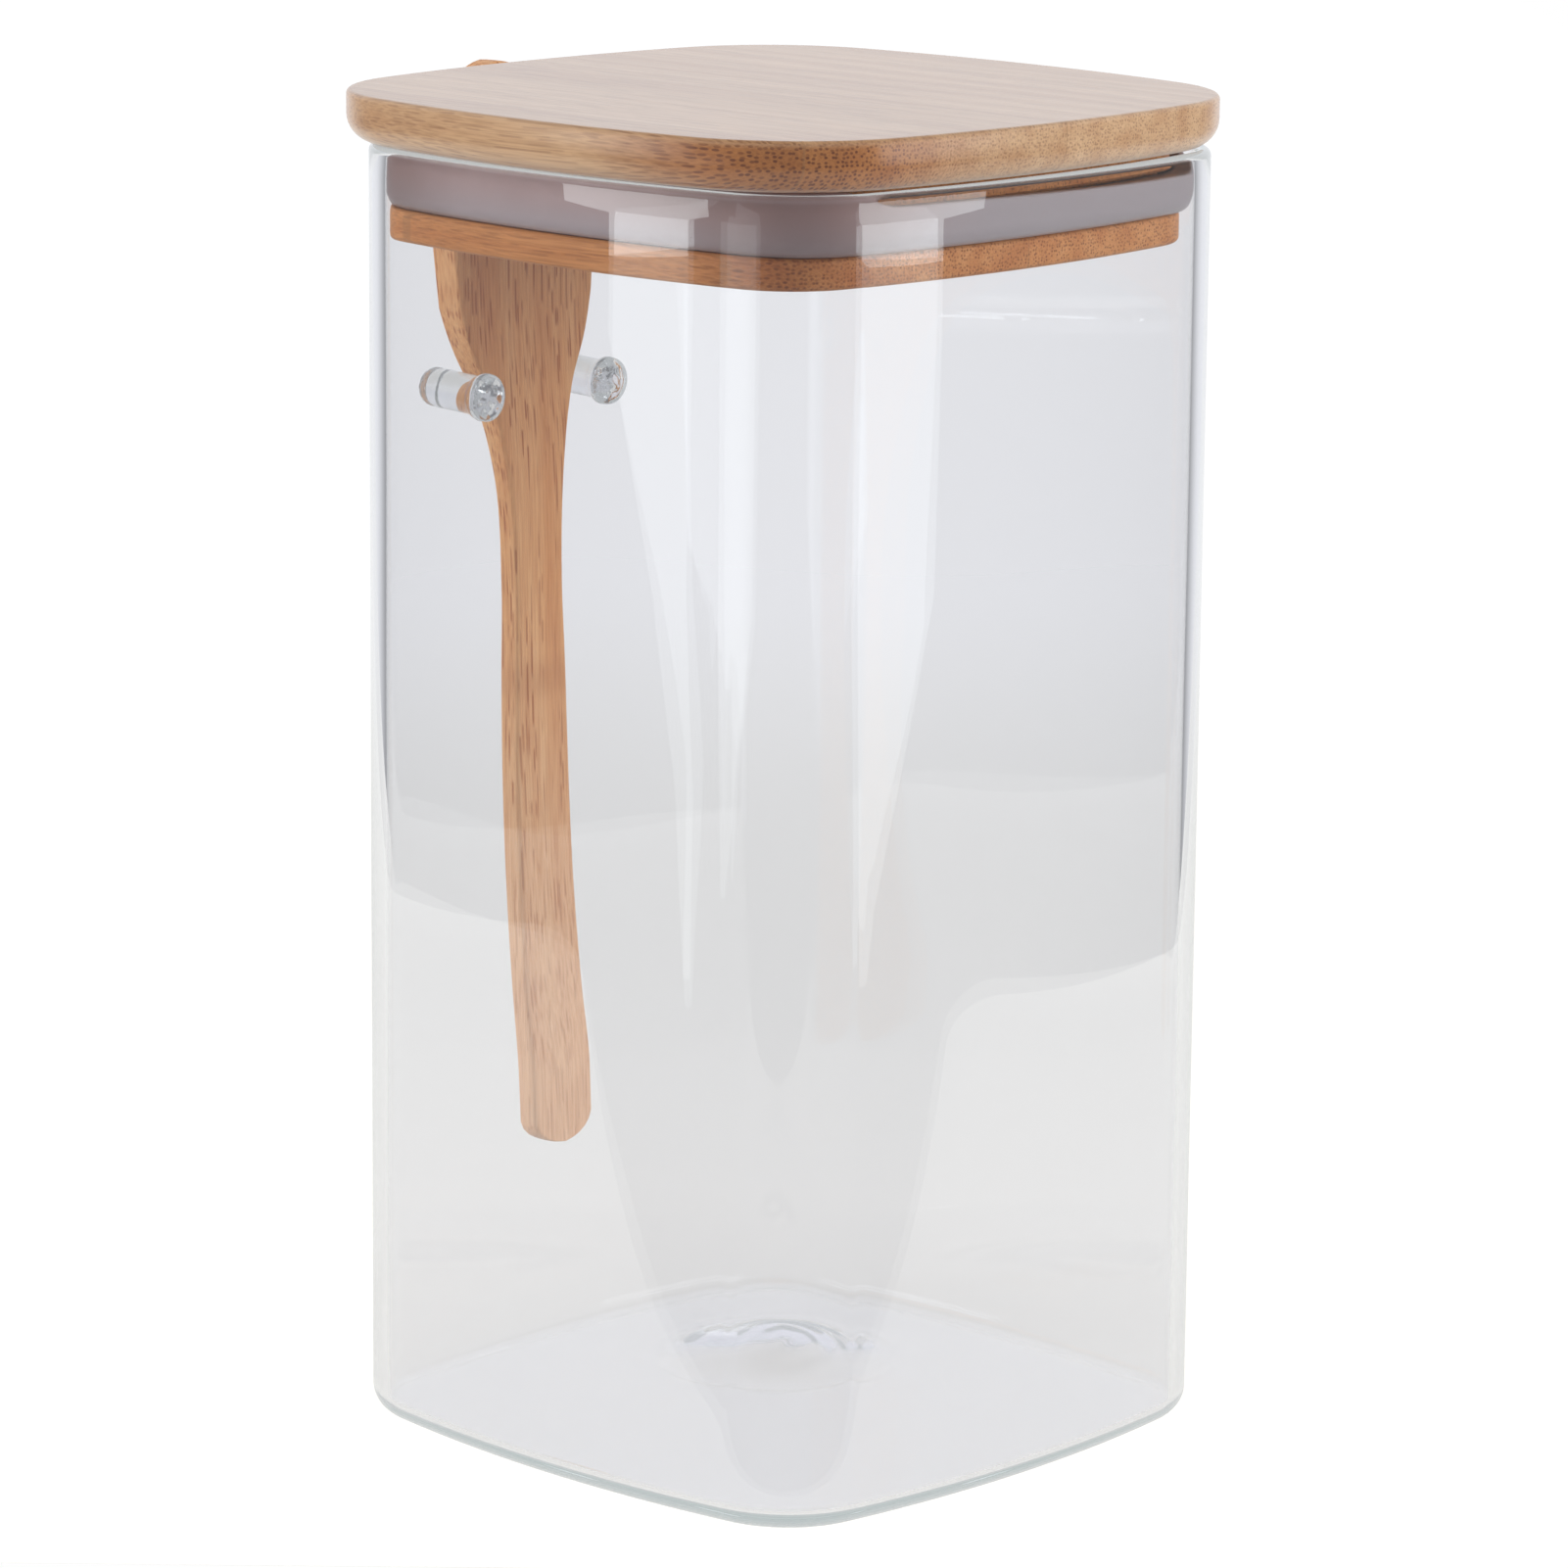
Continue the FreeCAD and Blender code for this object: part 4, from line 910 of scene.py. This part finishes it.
ROOM_LEVEL = 0.28
CEILING_LEVEL = 0.25
AROUND_LEVEL = 0.72
GROUND_LEVEL = 0.85
BACKDROP_LEVEL = 1.0
WALL_FACES_CROSSED = 4
world = bpy.data.worlds.new("studio")
bpy.context.scene.world = world
world.use_nodes = True
tree = world.node_tree
tree.nodes.clear()
ahead = (CAMERA_TARGET - CAMERA_PLACE) * Vector((1, 1, 0))
ahead.normalize()
direction = add_node(tree, "ShaderNodeTexCoord")
facing = add_node(tree, "ShaderNodeVectorMath", {
    0: direction.outputs["Generated"], 1: tuple(ahead)
}, operation="DOT_PRODUCT")
upward = add_node(tree, "ShaderNodeSeparateXYZ", {"Vector": direction.outputs["Generated"]})
level = ROOM_LEVEL
for start, end, strength, along in (
    (-0.02, 0.16, AROUND_LEVEL, upward.outputs["Z"]),
    (0.5, 0.85, CEILING_LEVEL, upward.outputs["Z"]),
    (-0.33, -0.5, GROUND_LEVEL, upward.outputs["Z"]),
    (0.55, 0.9, BACKDROP_LEVEL, facing.outputs["Value"]),
):
    share = add_node(tree, "ShaderNodeMapRange", {
        "Value": along, "From Min": start, "From Max": end
    }, interpolation_type="SMOOTHSTEP")
    level = add_node(tree, "ShaderNodeMix", {0: share.outputs[0], 2: level, 3: strength}).outputs[0]
path = add_node(tree, "ShaderNodeLightPath")
unmirrored = add_node(tree, "ShaderNodeMath", {0: path.outputs["Glossy Depth"], 1: 0.5}, operation="LESS_THAN")
walls_alone = add_node(tree, "ShaderNodeMath", {
    0: path.outputs["Transmission Depth"], 1: WALL_FACES_CROSSED + 0.5
}, operation="LESS_THAN")
unbent = add_node(tree, "ShaderNodeMath", {
    0: unmirrored.outputs[0], 1: walls_alone.outputs[0]
}, operation="MULTIPLY")
seen_through = add_node(tree, "ShaderNodeMath", {
    0: path.outputs["Is Transmission Ray"], 1: unbent.outputs[0]
}, operation="MULTIPLY")
background = add_node(tree, "ShaderNodeMath", {
    0: path.outputs["Is Camera Ray"], 1: seen_through.outputs[0]
}, operation="MAXIMUM")
level = add_node(tree, "ShaderNodeMath", {0: level, 1: background.outputs[0]}, operation="MAXIMUM")
cool = mix_colour(tree, "MIX", background.outputs[0], (0.945, 0.955, 1, 1), (1, 1, 1, 1))
sky = add_node(tree, "ShaderNodeBackground", {"Color": cool, "Strength": level.outputs[0]})
add_node(tree, "ShaderNodeOutputWorld", {"Surface": sky.outputs[0]})


def lamp(name, azimuth, distance, height, size, watts):
    """Soft lamp round the jar, aimed at its middle. azimuth is measured from +X towards +Y, in degrees."""
    data = bpy.data.lights.new(name, "AREA")
    data.shape = "RECTANGLE"
    data.size, data.size_y = size
    data.energy = watts
    made = bpy.data.objects.new(name, data)
    angle = math.radians(azimuth)
    made.location = (distance * math.cos(angle), distance * math.sin(angle), height)
    made.rotation_euler = (CAMERA_TARGET - made.location).to_track_quat("-Z", "Y").to_euler()
    made.visible_camera = False
    made.visible_transmission = False
    made.visible_glossy = False
    bpy.context.scene.collection.objects.link(made)


lamp("lamp_left", -36, 1.2, 0.55, (0.6, 0.8), 9)
lamp("lamp_right", 124, 1.2, 0.55, (0.6, 0.8), 9.6)


# Panels: pale boards beyond the sheet, which the near walls of the jar mirror as long tapered streaks.
# Each has the middle of its curve, its strength, and the azimuths of its two edges at heights, from the top down.
PANEL_DISTANCE = 1.2
PANELS = {
    "panel_left_top": ((0.05, 0.01), 4.3, [
        (0.16, -43, -27), (0.06, -43, -27), (0.034, -38, -29.3), (0.015, -38, -29.3)
    ]),
    "panel_left": ((0.05, 0.01), 1.3, [
        (0.015, -38, -29.3), (-0.01, -38, -29.3), (-0.094, -33, -29.3), (-0.159, -30.3, -28.4), (-0.22, -29.4, -28.6)
    ]),
    "panel_left_inner": ((0.05, 0.03), 1.2, [
        (0.044, -26.5, 4), (-0.01, -26.5, 4), (-0.1, -26.5, 2), (-0.15, -26, -14), (-0.19, -25.5, -24)
    ]),
    "panel_right_top": ((0.02, 0.05), 4.2, [
        (0.16, 103, 131), (0.06, 103, 131), (0.034, 107, 126.5), (0.015, 107, 126.5)
    ]),
    "panel_right": ((0.02, 0.05), 1.45, [
        (0.015, 107, 126.5), (-0.01, 107, 126.5), (-0.094, 106, 126), (-0.159, 110, 122), (-0.22, 113, 118)
    ]),
}
for name, (stand, strength, levels) in PANELS.items():
    corners = []
    for height, first, last in levels:
        for azimuth in (first, last):
            angle = math.radians(azimuth)
            corners.append((
                stand[0] + PANEL_DISTANCE * math.cos(angle), stand[1] + PANEL_DISTANCE * math.sin(angle), height
            ))
    mesh = bpy.data.meshes.new(name)
    mesh.from_pydata(corners, [], [(2 * n, 2 * n + 1, 2 * n + 3, 2 * n + 2) for n in range(len(levels) - 1)])
    panel = bpy.data.objects.new(name, mesh)
    bpy.context.scene.collection.objects.link(panel)
    pale_board, tree = new_material(name)
    shine = add_node(tree, "ShaderNodeEmission", {"Color": (0.94, 0.985, 1, 1), "Strength": strength})
    add_node(tree, "ShaderNodeOutputMaterial", {"Surface": shine.outputs[0]})
    mesh.materials.append(pale_board)
    panel.visible_camera = False
    panel.visible_diffuse = False
    panel.visible_shadow = False


# Camera: a long lens from a little above the lid, on the photograph's corner of the jar.
# The roll and the small shift are those of the photograph's frame.
camera_data = bpy.data.cameras.new("camera")
camera_data.sensor_width = 36
camera_data.lens = 155.32
camera_data.shift_x = -0.00063
camera_data.shift_y = -0.02214
camera = bpy.data.objects.new("camera", camera_data)
view = (CAMERA_TARGET - CAMERA_PLACE).to_track_quat("-Z", "Y").to_matrix()
camera.rotation_euler = (view @ Matrix.Rotation(CAMERA_ROLL, 3, "Z")).to_euler()
camera.location = CAMERA_PLACE
bpy.context.scene.collection.objects.link(camera)
bpy.context.scene.camera = camera
bpy.context.scene.view_settings.view_transform = "Standard"
